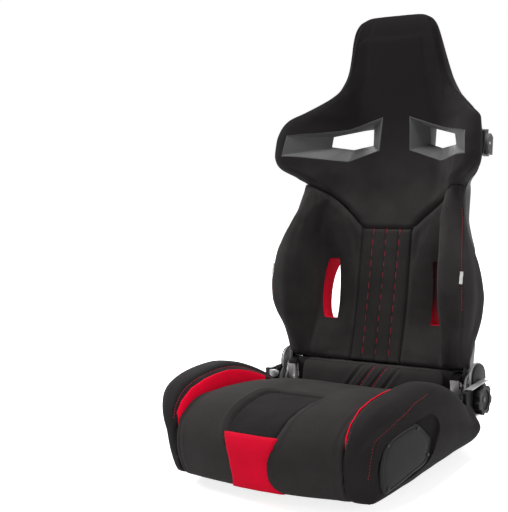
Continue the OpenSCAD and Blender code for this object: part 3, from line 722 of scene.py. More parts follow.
def across(places: Iterable[float], outline: Array) -> Array:
    """The same (y, z) ring at each place on X, (n, k, 3)."""
    return np.stack([np.column_stack([np.full(len(outline), x), outline]) for x in places])


def read_verts(obj: bpy.types.Object) -> Array:
    """The object's points, (n, 3), in millimetres.

    Args:
        obj: The piece.

    Returns:
        The points.
    """
    flat = np.empty(len(obj.data.vertices) * 3)
    obj.data.vertices.foreach_get("co", flat)
    return flat.reshape(-1, 3) / MM


def write_verts(obj: bpy.types.Object, verts: Array) -> None:
    """Puts the object's points, given in millimetres."""
    obj.data.vertices.foreach_set("co", (verts * MM).ravel())
    obj.data.update()


def read_normals(obj: bpy.types.Object) -> Array:
    """The object's point normals, (n, 3).

    Args:
        obj: The piece.

    Returns:
        The normals.
    """
    flat = np.empty(len(obj.data.vertices) * 3)
    obj.data.vertex_normals.foreach_get("vector", flat)
    return flat.reshape(-1, 3)


def apply_modifiers(obj: bpy.types.Object) -> None:
    """Replaces the mesh by what its modifiers make of it.

    Args:
        obj: The piece.
    """
    graph = bpy.context.evaluated_depsgraph_get()
    mesh = bpy.data.meshes.new_from_object(obj.evaluated_get(graph))
    obj.modifiers.clear()
    old = obj.data
    obj.data = mesh
    bpy.data.meshes.remove(old)


def subdivide(obj: bpy.types.Object, levels: int = 1) -> None:
    """Subdivides a mesh smoothly and applies it.

    Args:
        obj: The piece.
        levels: How often each face is divided.
    """
    mod = obj.modifiers.new("subdivision", "SUBSURF")
    mod.levels = mod.render_levels = levels
    apply_modifiers(obj)


def shade(obj: bpy.types.Object, material: bpy.types.Material, sharp_deg: float = 50.0) -> None:
    """Gives a piece its material and smooth shading that breaks at sharp edges.

    Args:
        obj: The piece.
        material: Its finish.
        sharp_deg: Edges sharper than this stay sharp.
    """
    mesh = obj.data
    mesh.materials.clear()
    mesh.materials.append(material)
    mesh.polygons.foreach_set("use_smooth", [True] * len(mesh.polygons))
    mesh.set_sharp_from_angle(angle=math.radians(sharp_deg))


def lay_path(path: Array, step: float) -> Array:
    """A path's points, evenly a step apart.

    Args:
        path: Points, (n, 3).
        step: Spacing.

    Returns:
        Points, (m, 3).
    """
    run = np.concatenate([[0.0], np.cumsum(np.linalg.norm(np.diff(path, axis=0), axis=1))])
    at = np.linspace(0, run[-1], max(2, int(run[-1] / step) + 1))
    return np.stack([np.interp(at, run, path[:, k]) for k in range(3)], axis=1)


def near_path(verts: Array, path: Array, reach: float) -> tuple[Array, Array]:
    """Each point's distance to a path, and how far along the path that is.

    Args:
        verts: Points, (n, 3).
        path: The path's points, (m, 3).
        reach: Points further than this stay at this distance.

    Returns:
        Distances and runs, (n,) each.
    """
    dense = lay_path(path, 1.0)
    run = np.concatenate([[0.0], np.cumsum(np.linalg.norm(np.diff(dense, axis=0), axis=1))])
    dist, along = np.full(len(verts), reach), np.zeros(len(verts))
    coarse = dense[:: max(1, int(reach / 2))]
    close = []
    for part in np.array_split(np.arange(len(verts)), 1 + len(verts) * len(coarse) // PAIRS_AT_ONCE):
        gap = np.linalg.norm(verts[part, None] - coarse[None], axis=2).min(1)
        close.append(part[gap < reach * 1.6])
    found = np.concatenate(close)
    for part in np.array_split(found, 1 + len(found) * len(dense) // PAIRS_AT_ONCE):
        gaps = np.linalg.norm(verts[part, None] - dense[None], axis=2)
        best = gaps.argmin(1)
        dist[part] = np.minimum(gaps[np.arange(len(part)), best], reach)
        along[part] = run[best]
    return dist, along


@dataclass(frozen=True)
class Seam:
    """How cloth dips at a line of sewing."""

    depth: float = 3.0
    width: float = 5.0
    swell: float = 0.8
    pucker: float = 0.25
    pitch: float = 9.0

    def sew(self, obj: bpy.types.Object, path: Array) -> None:
        """Pulls the surface in along a path and lets it swell beside it.

        Args:
            obj: The padded piece.
            path: The line of sewing, (n, 3), in millimetres.
        """
        verts, normals = read_verts(obj), read_normals(obj)
        dist, run = near_path(verts, path, self.width * 5)
        dip = np.exp(-((dist / self.width) ** 2))
        dip *= 1 + self.pucker * np.sin(run * 2 * math.pi / self.pitch)
        rise = np.exp(-(((dist - 2.4 * self.width) / (1.3 * self.width)) ** 2))
        rise[dist >= self.width * 5] = 0
        move = self.swell * rise - self.depth * dip
        write_verts(obj, verts + normals * move[:, None])


def snap(obj: bpy.types.Object, path: Array, lift: float, toward: Array | None = None) -> Array:
    """Lays a path on a piece's surface.

    Args:
        obj: The piece.
        path: Points near the surface, (n, 3), in millimetres.
        lift: How far above the surface the path ends up.
        toward: A direction to look along for the surface, or None for the nearest point.

    Returns:
        The path on the surface.
    """
    with opened(obj, keep=False) as bm:
        tree = BVHTree.FromBMesh(bm)
    out = []
    for p in path:
        start = Vector(p) * MM
        hit = normal = None
        if toward is not None:
            way = Vector(toward).normalized()
            hit, normal, _, _ = tree.ray_cast(start - way * 0.08, way, 0.2)
        if hit is None:
            hit, normal, _, _ = tree.find_nearest(start)
        out.append(np.array(hit) / MM + np.array(normal) * lift)
    return np.array(out)


def fill_with_air(obj: bpy.types.Object, pinned: Array, pressure: float, cap: float) -> None:
    """Lets a cover swell as cloth under pressure, no point further than the cap.

    Args:
        obj: The cover, closed or open.
        pinned: True for each point that the sewing or the frame holds, (n,).
        pressure: Cloth pressure.
        cap: Longest way a point may move, in millimetres.
    """
    start = read_verts(obj)
    group = obj.vertex_groups.new(name="held")
    group.add([int(i) for i in np.nonzero(pinned)[0]], 1.0, "REPLACE")
    mod = obj.modifiers.new("cover", "CLOTH")
    cloth = mod.settings
    cloth.quality = 6
    cloth.mass = 0.3
    cloth.tension_stiffness = cloth.compression_stiffness = 25
    cloth.shear_stiffness = 8
    cloth.bending_stiffness = 0.8
    cloth.use_pressure = True
    cloth.uniform_pressure_force = pressure
    cloth.vertex_group_mass = "held"
    cloth.effector_weights.gravity = 0
    mod.collision_settings.use_collision = False
    mod.point_cache.frame_start, mod.point_cache.frame_end = 1, CLOTH_FRAMES
    scene = bpy.context.scene
    for frame in range(1, CLOTH_FRAMES + 1):
        scene.frame_set(frame)
    apply_modifiers(obj)
    scene.frame_set(1)
    moved = read_verts(obj) - start
    length = np.linalg.norm(moved, axis=1, keepdims=True)
    moved *= np.minimum(1.0, cap / np.maximum(length, 1e-6))
    write_verts(obj, start + moved)
    obj.vertex_groups.clear()


def inflate(obj: bpy.types.Object, held: Array, pressure: float, cap: float) -> None:
    """Swells an open pad, closes its ends and smooths it.

    Args:
        obj: The pad.
        held: True for each point that stays, (n,).
        pressure: Cloth pressure.
        cap: Longest way a point may move, in millimetres.
    """
    fill_with_air(obj, held, pressure, cap)
    close_ends(obj)
    subdivide(obj)


class Cutter(Enum):
    """How a cut is worked out: on a closed piece, or on an open sheet."""

    SOLID = "EXACT"
    SHEET = "FAST"


def cut(obj: bpy.types.Object, tool: bpy.types.Object, how: Cutter = Cutter.SOLID) -> None:
    """Cuts a closed tool out of a piece and deletes the tool.

    Args:
        obj: The piece.
        tool: The closed tool.
        how: Which way the cut is worked out.
    """
    mod = obj.modifiers.new("cut", "BOOLEAN")
    mod.operation, mod.solver, mod.object = "DIFFERENCE", how.value, tool
    apply_modifiers(obj)
    bpy.data.objects.remove(tool)


def prism(name: str, outline: Array, axis: int, low: float, high: float) -> bpy.types.Object:
    """A straight prism along one axis.

    Args:
        name: Object name.
        outline: Corners in the other two axes, in their order, (n, 2).
        axis: The axis it runs along.
        low: Its start.
        high: Its end.

    Returns:
        The object, in millimetres as given.
    """
    n = len(outline)
    rings = np.stack([np.insert(outline, axis, at, axis=1) for at in (low, high)])
    sides = [[i, (i + 1) % n, n + (i + 1) % n, n + i] for i in range(n)]
    obj = new_object(name, rings.reshape(-1, 3), sides + [list(range(n)), list(range(n, 2 * n))])
    tidy_normals(obj)
    return obj


def smooth_outline(corners: Array, sharp: Iterable[int], step: float) -> Array:
    """A closed smooth line through corners, evenly dense.

    Args:
        corners: Points, (n, 2).
        sharp: The points that stay corners.
        step: Spacing.

    Returns:
        Points, (m, 2).
    """
    s = np.linspace(0, len(corners), 40 * len(corners))
    curve = on_rings(corners[None], s[None], sharp)[0]
    at = even_steps(curve, s, step)
    return on_rings(corners[None], at[None, :-1], sharp)[0]


def offset_outline(outline: Array, out: float) -> Array:
    """Moves a closed outline outwards along its normals.

    Args:
        outline: Points, (n, 2).
        out: How far, negative for inwards.

    Returns:
        Points, (n, 2).
    """
    ahead, back = np.roll(outline, -1, 0), np.roll(outline, 1, 0)
    tangent = ahead - back
    tangent /= np.linalg.norm(tangent, axis=1, keepdims=True) + 1e-9
    normal = np.stack([tangent[:, 1], -tangent[:, 0]], axis=1)
    area = np.sum(outline[:, 0] * ahead[:, 1] - ahead[:, 0] * outline[:, 1])
    return outline + normal * out * (1 if area > 0 else -1)


def both_sides(obj: bpy.types.Object, name: str) -> tuple[tuple[bpy.types.Object, Side], ...]:
    """Copies a right piece to the left.

    Args:
        obj: The right piece.
        name: The left one's name.

    Returns:
        Each piece with its side.
    """
    twin = add_object(name, obj.data.copy())
    twin.data.transform(Matrix.Scale(-1, 4, (1, 0, 0)))
    tidy_normals(twin)
    return (obj, Side.RIGHT), (twin, Side.LEFT)


def ring_torus(name: str, rows: Sequence[Array]) -> bpy.types.Object:
    """A closed shell through closed rings, the last ring joined to the first.

    Args:
        name: The piece's name.
        rows: Rings of as many points each, (c, 3), in millimetres.

    Returns:
        The object.
    """
    grid = np.stack(rows)
    r, c = grid.shape[:2]
    faces = [[i * c + j, i * c + (j + 1) % c, (i + 1) % r * c + (j + 1) % c, (i + 1) % r * c + j]
             for i in range(r) for j in range(c)]
    obj = new_object(name, grid.reshape(-1, 3), faces)
    tidy_normals(obj)
    return obj


def bevel(obj: bpy.types.Object, width_mm: float, segments: int = 2, angle_deg: float = 28.0) -> None:
    """Breaks a piece's sharp edges.

    Args:
        obj: The piece.
        width_mm: Width of the broken edge.
        segments: Faces across it.
        angle_deg: Edges sharper than this are broken.
    """
    mod = obj.modifiers.new("broken_edges", "BEVEL")
    mod.width, mod.segments = width_mm * MM, segments
    mod.limit_method, mod.angle_limit = "ANGLE", math.radians(angle_deg)
    mod.use_clamp_overlap = True
    apply_modifiers(obj)


def crease_noise(obj: bpy.types.Object, height: float, scale_mm: float, seed: int) -> None:
    """Gives a pad the slight waviness of hand laid cloth, by sums of sines.

    Args:
        obj: The pad.
        height: Height of the waves, in millimetres.
        scale_mm: Length of the waves.
        seed: Start of the random draws.
    """
    rng = np.random.default_rng(seed)
    verts, normals = read_verts(obj), read_normals(obj)
    wave = np.zeros(len(verts))
    for _ in range(9):
        way = rng.normal(size=3)
        way *= rng.uniform(0.6, 1.6) * 2 * math.pi / scale_mm / np.linalg.norm(way)
        wave += np.sin(verts @ way + rng.uniform(0, 6.28))
    write_verts(obj, verts + normals * (wave / 9 * height * 1.6)[:, None])


def dress(obj: bpy.types.Object, material: bpy.types.Material, body: str,
          nodes: Sequence[str] = (), sharp_deg: float = 50.0) -> bpy.types.Object:
    """Finishes a piece: material, shading, body and the nodes it stands for.

    Args:
        obj: The piece.
        material: Its finish.
        body: The body it rides on.
        nodes: The nodes it stands for.
        sharp_deg: Edges sharper than this stay sharp.

    Returns:
        The piece.
    """
    shade(obj, material, sharp_deg)
    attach(obj, body)
    if nodes:
        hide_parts(*nodes)
    LOG.info("%s: %d faces on %s", obj.name, len(obj.data.polygons), body)
    return obj


def flip_x(path: Array, side: Side) -> Array:
    """A path on the asked side, from one on the right."""
    return path * (side.value, 1, 1)


def pair(word: str, grid: Array, material: bpy.types.Material, body: str, node: str,
         sharp_deg: float = 50.0, edge_mm: float = 0.0, closed: bool = False) -> None:
    """Makes the same hard or plain piece on both sides.

    Args:
        word: The pieces' name after their side.
        grid: Points of the right one, in rows, (r, c, 3).
        material: Its finish.
        body: The body it rides on.
        node: The node it stands for, after its side.
        sharp_deg: Edges sharper than this stay sharp.
        edge_mm: Width of the broken edges, 0 for none.
        closed: Joins the last row to the first.
    """
    for side in Side:
        name, points = f"{side.word}_{word}", flip_x(grid, side)
        obj = ring_torus(name, points) if closed else grid_object(name, points, wrap=True, caps=True)
        if edge_mm:
            bevel(obj, edge_mm, 2, sharp_deg)
        dress(obj, material, body, [f"{side.word}_{node}"], sharp_deg)


# ---------------------------------------------------------------- repeats


class Repeater:
    """A small node tree, built in code, and the plain mesh it makes."""

    def __init__(self, name: str) -> None:
        """Starts a tree with a geometry input and output.

        Args:
            name: The tree's name.
        """
        self.tree = bpy.data.node_groups.new(name, "GeometryNodeTree")
        for way in ("INPUT", "OUTPUT"):
            self.tree.interface.new_socket("Geometry", in_out=way, socket_type="NodeSocketGeometry")
        self.inside = self.tree.nodes.new("NodeGroupInput")
        self.out = self.tree.nodes.new("NodeGroupOutput")
        self.idents: dict[str, str] = {}

    def number(self, name: str, kind: str = "NodeSocketFloat") -> bpy.types.NodeSocket:
        """Adds a named input and returns its socket inside the tree.

        Args:
            name: The input's name.
            kind: Its socket type.

        Returns:
            The socket.
        """
        item = self.tree.interface.new_socket(name, in_out="INPUT", socket_type=kind)
        self.idents[name] = item.identifier
        return self.inside.outputs[name]

    def node(self, kind: str, settings: dict | None = None, inputs: dict | None = None) -> bpy.types.Node:
        """Adds a node with its settings and its inputs' values or links."""
        return add_node(self.tree, kind, settings, inputs)

    def end(self, geometry: bpy.types.NodeSocket, material: bpy.types.NodeSocket) -> None:
        """Ends the tree with Realize Instances and Set Material.

        Args:
            geometry: What the tree made.
            material: Its finish.
        """
        real = self.node("GeometryNodeRealizeInstances", None, {"Geometry": geometry})
        done = self.node("GeometryNodeSetMaterial", None, {"Geometry": real.outputs[0], "Material": material})
        self.tree.links.new(done.outputs[0], self.out.inputs[0])

    def run(self, name: str, base: bpy.types.Object, values: dict) -> bpy.types.Object:
        """Runs the tree on an object and keeps the result as a plain mesh.

        Args:
            name: The new piece's name.
            base: The object that carries the points or paths; it is deleted.
            values: Input values by name.

        Returns:
            The piece.
        """
        mod = base.modifiers.new("repeat", "NODES")
        mod.node_group = self.tree
        for key, value in values.items():
            mod[self.idents[key]] = value
        graph = bpy.context.evaluated_depsgraph_get()
        mesh = bpy.data.meshes.new_from_object(base.evaluated_get(graph))
        mesh.name = name
        obj = add_object(name, mesh)
        bpy.data.objects.remove(base)
        return obj


class StitchRun(Repeater):
    """Stitches laid along paths."""

    def __init__(self) -> None:
        """Builds the tree: paths, even points, one rounded stitch at each."""
        super().__init__("stitch_run")
        pitch, length, thick = (self.number(n) for n in ("Pitch", "Length", "Thickness"))
        material = self.number("Material", "NodeSocketMaterial")
        curve = self.node("GeometryNodeMeshToCurve", None, {"Mesh": self.inside.outputs[0]})
        even = self.node("GeometryNodeResampleCurve", {"mode": "LENGTH"},
                         {"Curve": curve.outputs[0], "Length": pitch})
        tangent = self.node("GeometryNodeInputTangent")
        turn = self.node("FunctionNodeAlignRotationToVector", {"axis": "X"}, {"Vector": tangent.outputs[0]})
        ball = self.node("GeometryNodeMeshUVSphere", None, {"Segments": 8, "Rings": 6, "Radius": 0.5})
        size = self.node("ShaderNodeCombineXYZ", None, {0: length, 1: thick, 2: thick})
        each = self.node("GeometryNodeInstanceOnPoints", None,
                         {"Points": even.outputs[0], "Instance": ball.outputs[0],
                          "Rotation": turn.outputs[0], "Scale": size.outputs[0]})
        self.end(each.outputs[0], material)


class FastenerSet(Repeater):
    """The same fastener at many points, its head along each point's stored way."""

    def __init__(self) -> None:
        """Builds the tree: points that carry a way, one fastener at each."""
        super().__init__("fasteners")
        head = self.number("Fastener", "NodeSocketObject")
        material = self.number("Material", "NodeSocketMaterial")
        info = self.node("GeometryNodeObjectInfo", {"transform_space": "ORIGINAL"}, {"Object": head})
        way = self.node("GeometryNodeInputNamedAttribute", {"data_type": "FLOAT_VECTOR"}, {"Name": "way"})
        turn = self.node("FunctionNodeAlignRotationToVector", {"axis": "Z"}, {"Vector": way.outputs[0]})
        each = self.node("GeometryNodeInstanceOnPoints", None,
                         {"Points": self.inside.outputs[0], "Instance": info.outputs["Geometry"],
                          "Rotation": turn.outputs[0]})
        self.end(each.outputs[0], material)


def path_object(paths: Sequence[Array]) -> bpy.types.Object:
    """One object whose edges are the given paths, in millimetres.

    Args:
        paths: Points of each path, (n, 3).

    Returns:
        The object.
    """
    verts: list[Array] = []
    edges: list[tuple[int, int]] = []
    for path in paths:
        start = sum(len(v) for v in verts)
        verts.append(path)
        edges += [(start + i, start + i + 1) for i in range(len(path) - 1)]
    mesh = bpy.data.meshes.new("paths")
    mesh.from_pydata((np.concatenate(verts) * MM).tolist(), edges, [])
    return add_object("paths", mesh)


def screw_head(radius: float, height: float) -> bpy.types.Object:
    """A pan head screw with a six sided socket, pointing along Z.

    Args:
        radius: Head radius in millimetres.
        height: Head height in millimetres.

    Returns:
        The object.
    """
    n = 18
    a = np.arange(n) * 2 * math.pi / n
    hexed = 0.44 * radius * math.cos(math.pi / 6) / np.cos((a % (math.pi / 3)) - math.pi / 6)
    rows = [(r * radius, z) for r, z in ((1.0, 0), (1.0, 0.45), (0.92, 0.75), (0.72, 0.95), (0.5, 1.0))]
    rows += [(hexed, 0.98), (hexed, 0.35)]
    grid = np.stack([np.stack([np.cos(a) * r, np.sin(a) * r, np.full(n, z * height)], 1) for r, z in rows])
    return grid_object("screw_head", grid, wrap=True, caps=True)


@dataclass
class Sewing:
    """Collects stitch paths, then makes one piece for each body and kind."""

    runs: dict[tuple[str, float, float, float], list[Array]] = field(default_factory=dict)

    def add(self, body: str, path: Array, pitch: float = 6.0, length: float = 4.2,
            thick: float = 1.1) -> None:
        """Adds a row of stitches.

        Args:
            body: The body the cloth rides on.
            path: Its line, (n, 3), in millimetres.
            pitch: Distance from stitch to stitch.
            length: Length of a stitch.
            thick: Thickness of the thread.
        """
        self.runs.setdefault((body, pitch, length, thick), []).append(lay_path(path, 2.0))

    def make(self, finishes: Finishes) -> None:
        """Makes the stitches of every kind.

        Args:
            finishes: The finishes.
        """
        tree = StitchRun()
        for k, ((body, pitch, length, thick), paths) in enumerate(self.runs.items()):
            obj = tree.run(f"stitches_{body}_{k}", path_object(paths), {
                "Pitch": pitch * MM, "Length": length * MM, "Thickness": thick * MM,
                "Material": finishes.thread})
            dress(obj, finishes.thread, body)


@dataclass
class Fasteners:
    """Collects screw places, then makes one piece for each body and size."""

    spots: dict[tuple[str, float], list[tuple[Array, Array]]] = field(default_factory=dict)

    def add(self, body: str, place: Sequence[float], way: Sequence[float], radius: float) -> None:
        """Adds a screw.

        Args:
            body: The body it rides on.
            place: Under its head, in millimetres.
            way: The way its head points.
            radius: Head radius.
        """
        self.spots.setdefault((body, radius), []).append((np.array(place, float), np.array(way, float)))

    def make(self, material: bpy.types.Material) -> None:
        """Makes the screws.

        Args:
            material: Their finish.
        """
        tree = FastenerSet()
        for k, ((body, radius), spots) in enumerate(self.spots.items()):
            mesh = bpy.data.meshes.new("spots")
            mesh.from_pydata([(p * MM).tolist() for p, _ in spots], [], [])
            way = mesh.attributes.new("way", "FLOAT_VECTOR", "POINT")
            way.data.foreach_set("vector", np.array([w for _, w in spots]).ravel())
            base = add_object("spots", mesh)
            head = screw_head(radius, radius * 0.6)
            obj = tree.run(f"screws_{body}_{k}", base, {"Fastener": head, "Material": material})
            bpy.data.objects.remove(head)
            dress(obj, material, body, sharp_deg=35)


# ---------------------------------------------------------------- the back

BACK_ROWS = np.array([
    [45, 226, 3, 121, -1, 166, -3, 178, -12, 22, 36, 36],
    [62, 227, 5, 121, 3, 167, 0, 180, -24, 14, 38, 36],
    [83, 229, 5, 121, 9, 168, 6, 182, -36, 4, 38, 36],
    [110, 234, 5, 121, 18, 168, 17, 185, -50, -16, 38, 36],
    [139, 243, 5, 121, 28, 168, 29, 187, -65, -42, 37, 36],
    [170, 249, 5, 121, 31, 168, 33, 188, -81, -58, 36, 36],
    [200, 250, 5, 121, 29, 168, 33, 188, -91, -62, 36, 36],
    [235, 246, 4, 121, 24, 168, 29, 188, -98, -65, 30, 36],
    [276, 237, 4, 121, 13, 168, 18, 188, -103, -66, 20, 36],
    [311, 225, 3, 121, 6, 167, 8, 186, -101, -60, 8, 35],
    [348, 212, 3, 121, 3, 164, -4, 181, -93, -48, -4, 34],
    [385, 204, 3, 121, 1, 158, -12, 176, -80, -40, -10, 34],
    [412, 202, 4, 121, 0, 150, -14, 175, -68, -36, -12, 34],
    [432, 201, 4, 121, 1, 148, -16, 178, -56, -32, -14, 34],
    [447, 206, 4, 121, 1, 146, -18, 184, -60, -42, -20, 34],
    [458, 224, 4, 121, 1, 144, -20, 202, -82, -62, -34, 34],
    [467, 244, 4, 120, 1, 142, -20, 220, -97, -76, -48, 34],
    [481, 256, 4, 119, 1, 141, -20, 232, -107, -84, -56, 34],
    [500, 260, 4, 119, 1, 140, -19, 236, -112, -88, -60, 34],
    [530, 259, 3, 119, 1, 140, -18, 236, -112, -89, -62, 34],
    [560, 254, 1, 119, -1, 140, -19, 233, -105, -88, -60, 34],
    [584, 244, -1, 116, -4, 138, -21, 225, -92, -78, -46, 34],
    [605, 220, -4, 110, -7, 130, -20, 202, -72, -62, -20, 33],
    [628, 193, -8, 100, -10, 120, -18, 178, -50, -42, 4, 31],
    [650, 165, -13, 90, -14, 105, -17, 150, -35, -28, 16, 28],
    [670, 146, -18, 80, -18, 96, -20, 132, -29, -19, 21, 25],
    [700, 130, -26, 70, -26, 86, -27, 117, -31, -19, 14, 18],
    [745, 118, -38, 66, -38, 80, -38, 106, -41, -28, -4, 2],
    [780, 110, -47, 62, -47, 74, -47, 98, -49, -38, -20, -16],
    [802, 103, -51, 58, -51, 68, -51, 90, -52, -43, -30, -26],
    [818, 91, -52, 50, -52, 60, -52, 78, -52, -46, -36, -32],
    [828, 72, -51, 40, -51, 48, -51, 62, -50, -47, -40, -38]], float)
REAR_FLAT = np.array([[45, 190], [300, 190], [345, 181], [385, 173], [447, 170], [467, 161],
                      [600, 160], [640, 138], [700, 105]], float)
V_LINE = np.array([[0, 348], [58, 348], [66, 352], [88, 374], [118, 400], [150, 424], [182, 440],
                   [300, 446]], float)
BELT = np.array([[122, 140], [156, 141], [163, 160], [167, 190], [166, 222], [160, 252],
                 [150, 275], [122, 276]], float)
MOUTH = np.array([[37, -2, 602], [223, -104, 545], [229, -108, 498], [119, 2, 506], [42, 5, 530]], float)
THROAT = np.array([[73, 26, 586], [156, -14, 560], [160, -11, 537], [115, 15, 535], [75, 34, 549]], float)
OUTLET = np.array([[66, 96, 604], [206, 44, 580], [206, 44, 528], [118, 80, 524], [66, 96, 538]], float)
SLOT_MID = {"mouth": (140, 545), "throat": (115, 552)}
# Corners of BELT that stay sharp, the heights of the pads' ends, the ribbed panel's half width, top
# and pleats, the ring place where the side turns to the rear, and the linings' inner end.
BELT_CORNERS = (0, 1, 6, 7)
BACK_LOW, BACK_TOP = 45.0, 828.0
PANEL_X, PANEL_TOP = 62.0, 348.0
PLEAT_STEP = 33.5
PLEATS = (0.0, PLEAT_STEP, -PLEAT_STEP)
SIDE_EDGE = 14
LINING_V = 67.0
SEAM_PLACES = np.array([[56, 9.9], [200, 9.97], [220, 10.02], [240, 10.12], [260, 10.22], [280, 10.35],
                        [300, 10.52], [320, 10.7], [340, 10.8], [360, 10.87], [388, 10.85], [420, 10.45],
                        [444, 10.1]])


class BackForm:
    """The smooth form that the back's pads share, in the back's own (x, v, w)."""

    def __init__(self) -> None:
        """Lofts the stations."""
        rings = []
        for row in BACK_ROWS:
            half = self.half(row)
            rings.append(np.concatenate([half, half[SIDE_EDGE:0:-1] * (-1, 1)]))
        self.loft = Loft(BACK_ROWS[:, 0], np.array(rings), (SIDE_EDGE, SIDE_EDGE + 2))

    @staticmethod
    def half(row: Array) -> Array:
        """One station from the front middle to the rear middle, (16, 2).

        Args:
            row: A row of BACK_ROWS.

        Returns:
            Points (x, v).
        """
        w, side, vc, xk, vk, xf, vf, xc, v, vo, vr, vp = row
        x1 = min(60, 0.5 * xk)
        rear = min(side - 24, float(np.interp(w, REAR_FLAT[:, 0], REAR_FLAT[:, 1])))
        return np.array([
            [0, vc], [x1, vc + 0.15 * (vk - vc)], [0.5 * (x1 + xk), vc + 0.55 * (vk - vc)], [xk, vk],
            [0.5 * (xk + xf), 0.5 * (vk + vf) + 0.04 * (xf - xk)], [xf, vf],
            [xf + 0.42 * (xc - xf), vf + 0.5 * (v - vf)], [xf + 0.8 * (xc - xf), vf + 0.9 * (v - vf)],
            [xc, v], [xc + 0.6 * (side - xc), v + 0.07 * (vo - v)],
            [side - 0.15 * (side - xc), v + 0.32 * (vo - v)], [side, vo],
            [side - 0.04 * (side - xk), 0.5 * (vo + vr)], [side - 0.11 * (side - xk), vr],
            [rear, vp], [0, vp]])

    def at(self, w: Array, s: Array) -> Array:
        """Points of the form.

        Args:
            w: Heights.
            s: Places round the ring, in the same shape.

        Returns:
            Points (x, v, w).
        """
        flat = self.loft.points(w, s)
        return np.concatenate([flat, w[..., None]], axis=-1)

    def s_at_x(self, w: Array, x: Array) -> Array:
        """Place round the ring where the front reaches x, at heights w."""
        low, high = close_in(np.zeros_like(w), np.full_like(w, 10.9), 22, lambda s: self.at(w, s)[..., 0] < x)
        return 0.5 * (low + high)

    def front(self, x: Array, w: Array) -> Array:
        """Depth v of the front at places (x, w)."""
        return self.at(w, self.s_at_x(w, np.abs(x)))[..., 1]

    def meet_v(self, s_of: Callable[[Array], Array], cols: int, low: float, high: float) -> Array:
        """Height where each column of the form meets the sewn V.

        Args:
            s_of: Gives the columns' places round the ring at their heights.
            cols: Number of columns.
            low: Lowest height.
            high: Highest height.

        Returns:
            Heights, (cols,).
        """

        def under(w: Array) -> Array:
            """True where the columns at heights w are under the V."""
            return w < np.interp(np.abs(self.at(w, s_of(w))[:, 0]), V_LINE[:, 0], V_LINE[:, 1])

        a, b = close_in(np.full(cols, low), np.full(cols, high), 24, under)
        return 0.5 * (a + b)


def slot_point(points: Array, part: str, grow: float, shift: float = 0.0) -> Array:
    """Corners of the shoulder belt slot, grown outwards.

    Args:
        points: Corners (x, v, w).
        part: Which middle they grow from.
        grow: Growth in millimetres.
        shift: Added to v.

    Returns:
        The corners.
    """
    cx, cw = SLOT_MID[part]
    out = points.copy()
    out[:, 0] = cx + (points[:, 0] - cx) * (1 + grow / 80)
    out[:, 2] = cw + (points[:, 2] - cw) * (1 + grow / 32)
    out[:, 1] += shift
    return out


def divided(points: Array, count: int = 9) -> Array:
    """Divides each edge of a five cornered ring."""
    t = np.arange(count)[:, None] / count
    return np.concatenate([p + (q - p) * t for p, q in zip(points, np.roll(points, -1, 0))])


def belt_outline(step: float, out: float = 0.0) -> Array:
    """The lap belt slot's outline in x and w, evenly dense and grown outwards.

    Args:
        step: Spacing.
        out: Growth.

    Returns:
        Points, (n, 2).
    """
    line = smooth_outline(BELT, BELT_CORNERS, step)
    return offset_outline(line, out) if out else line


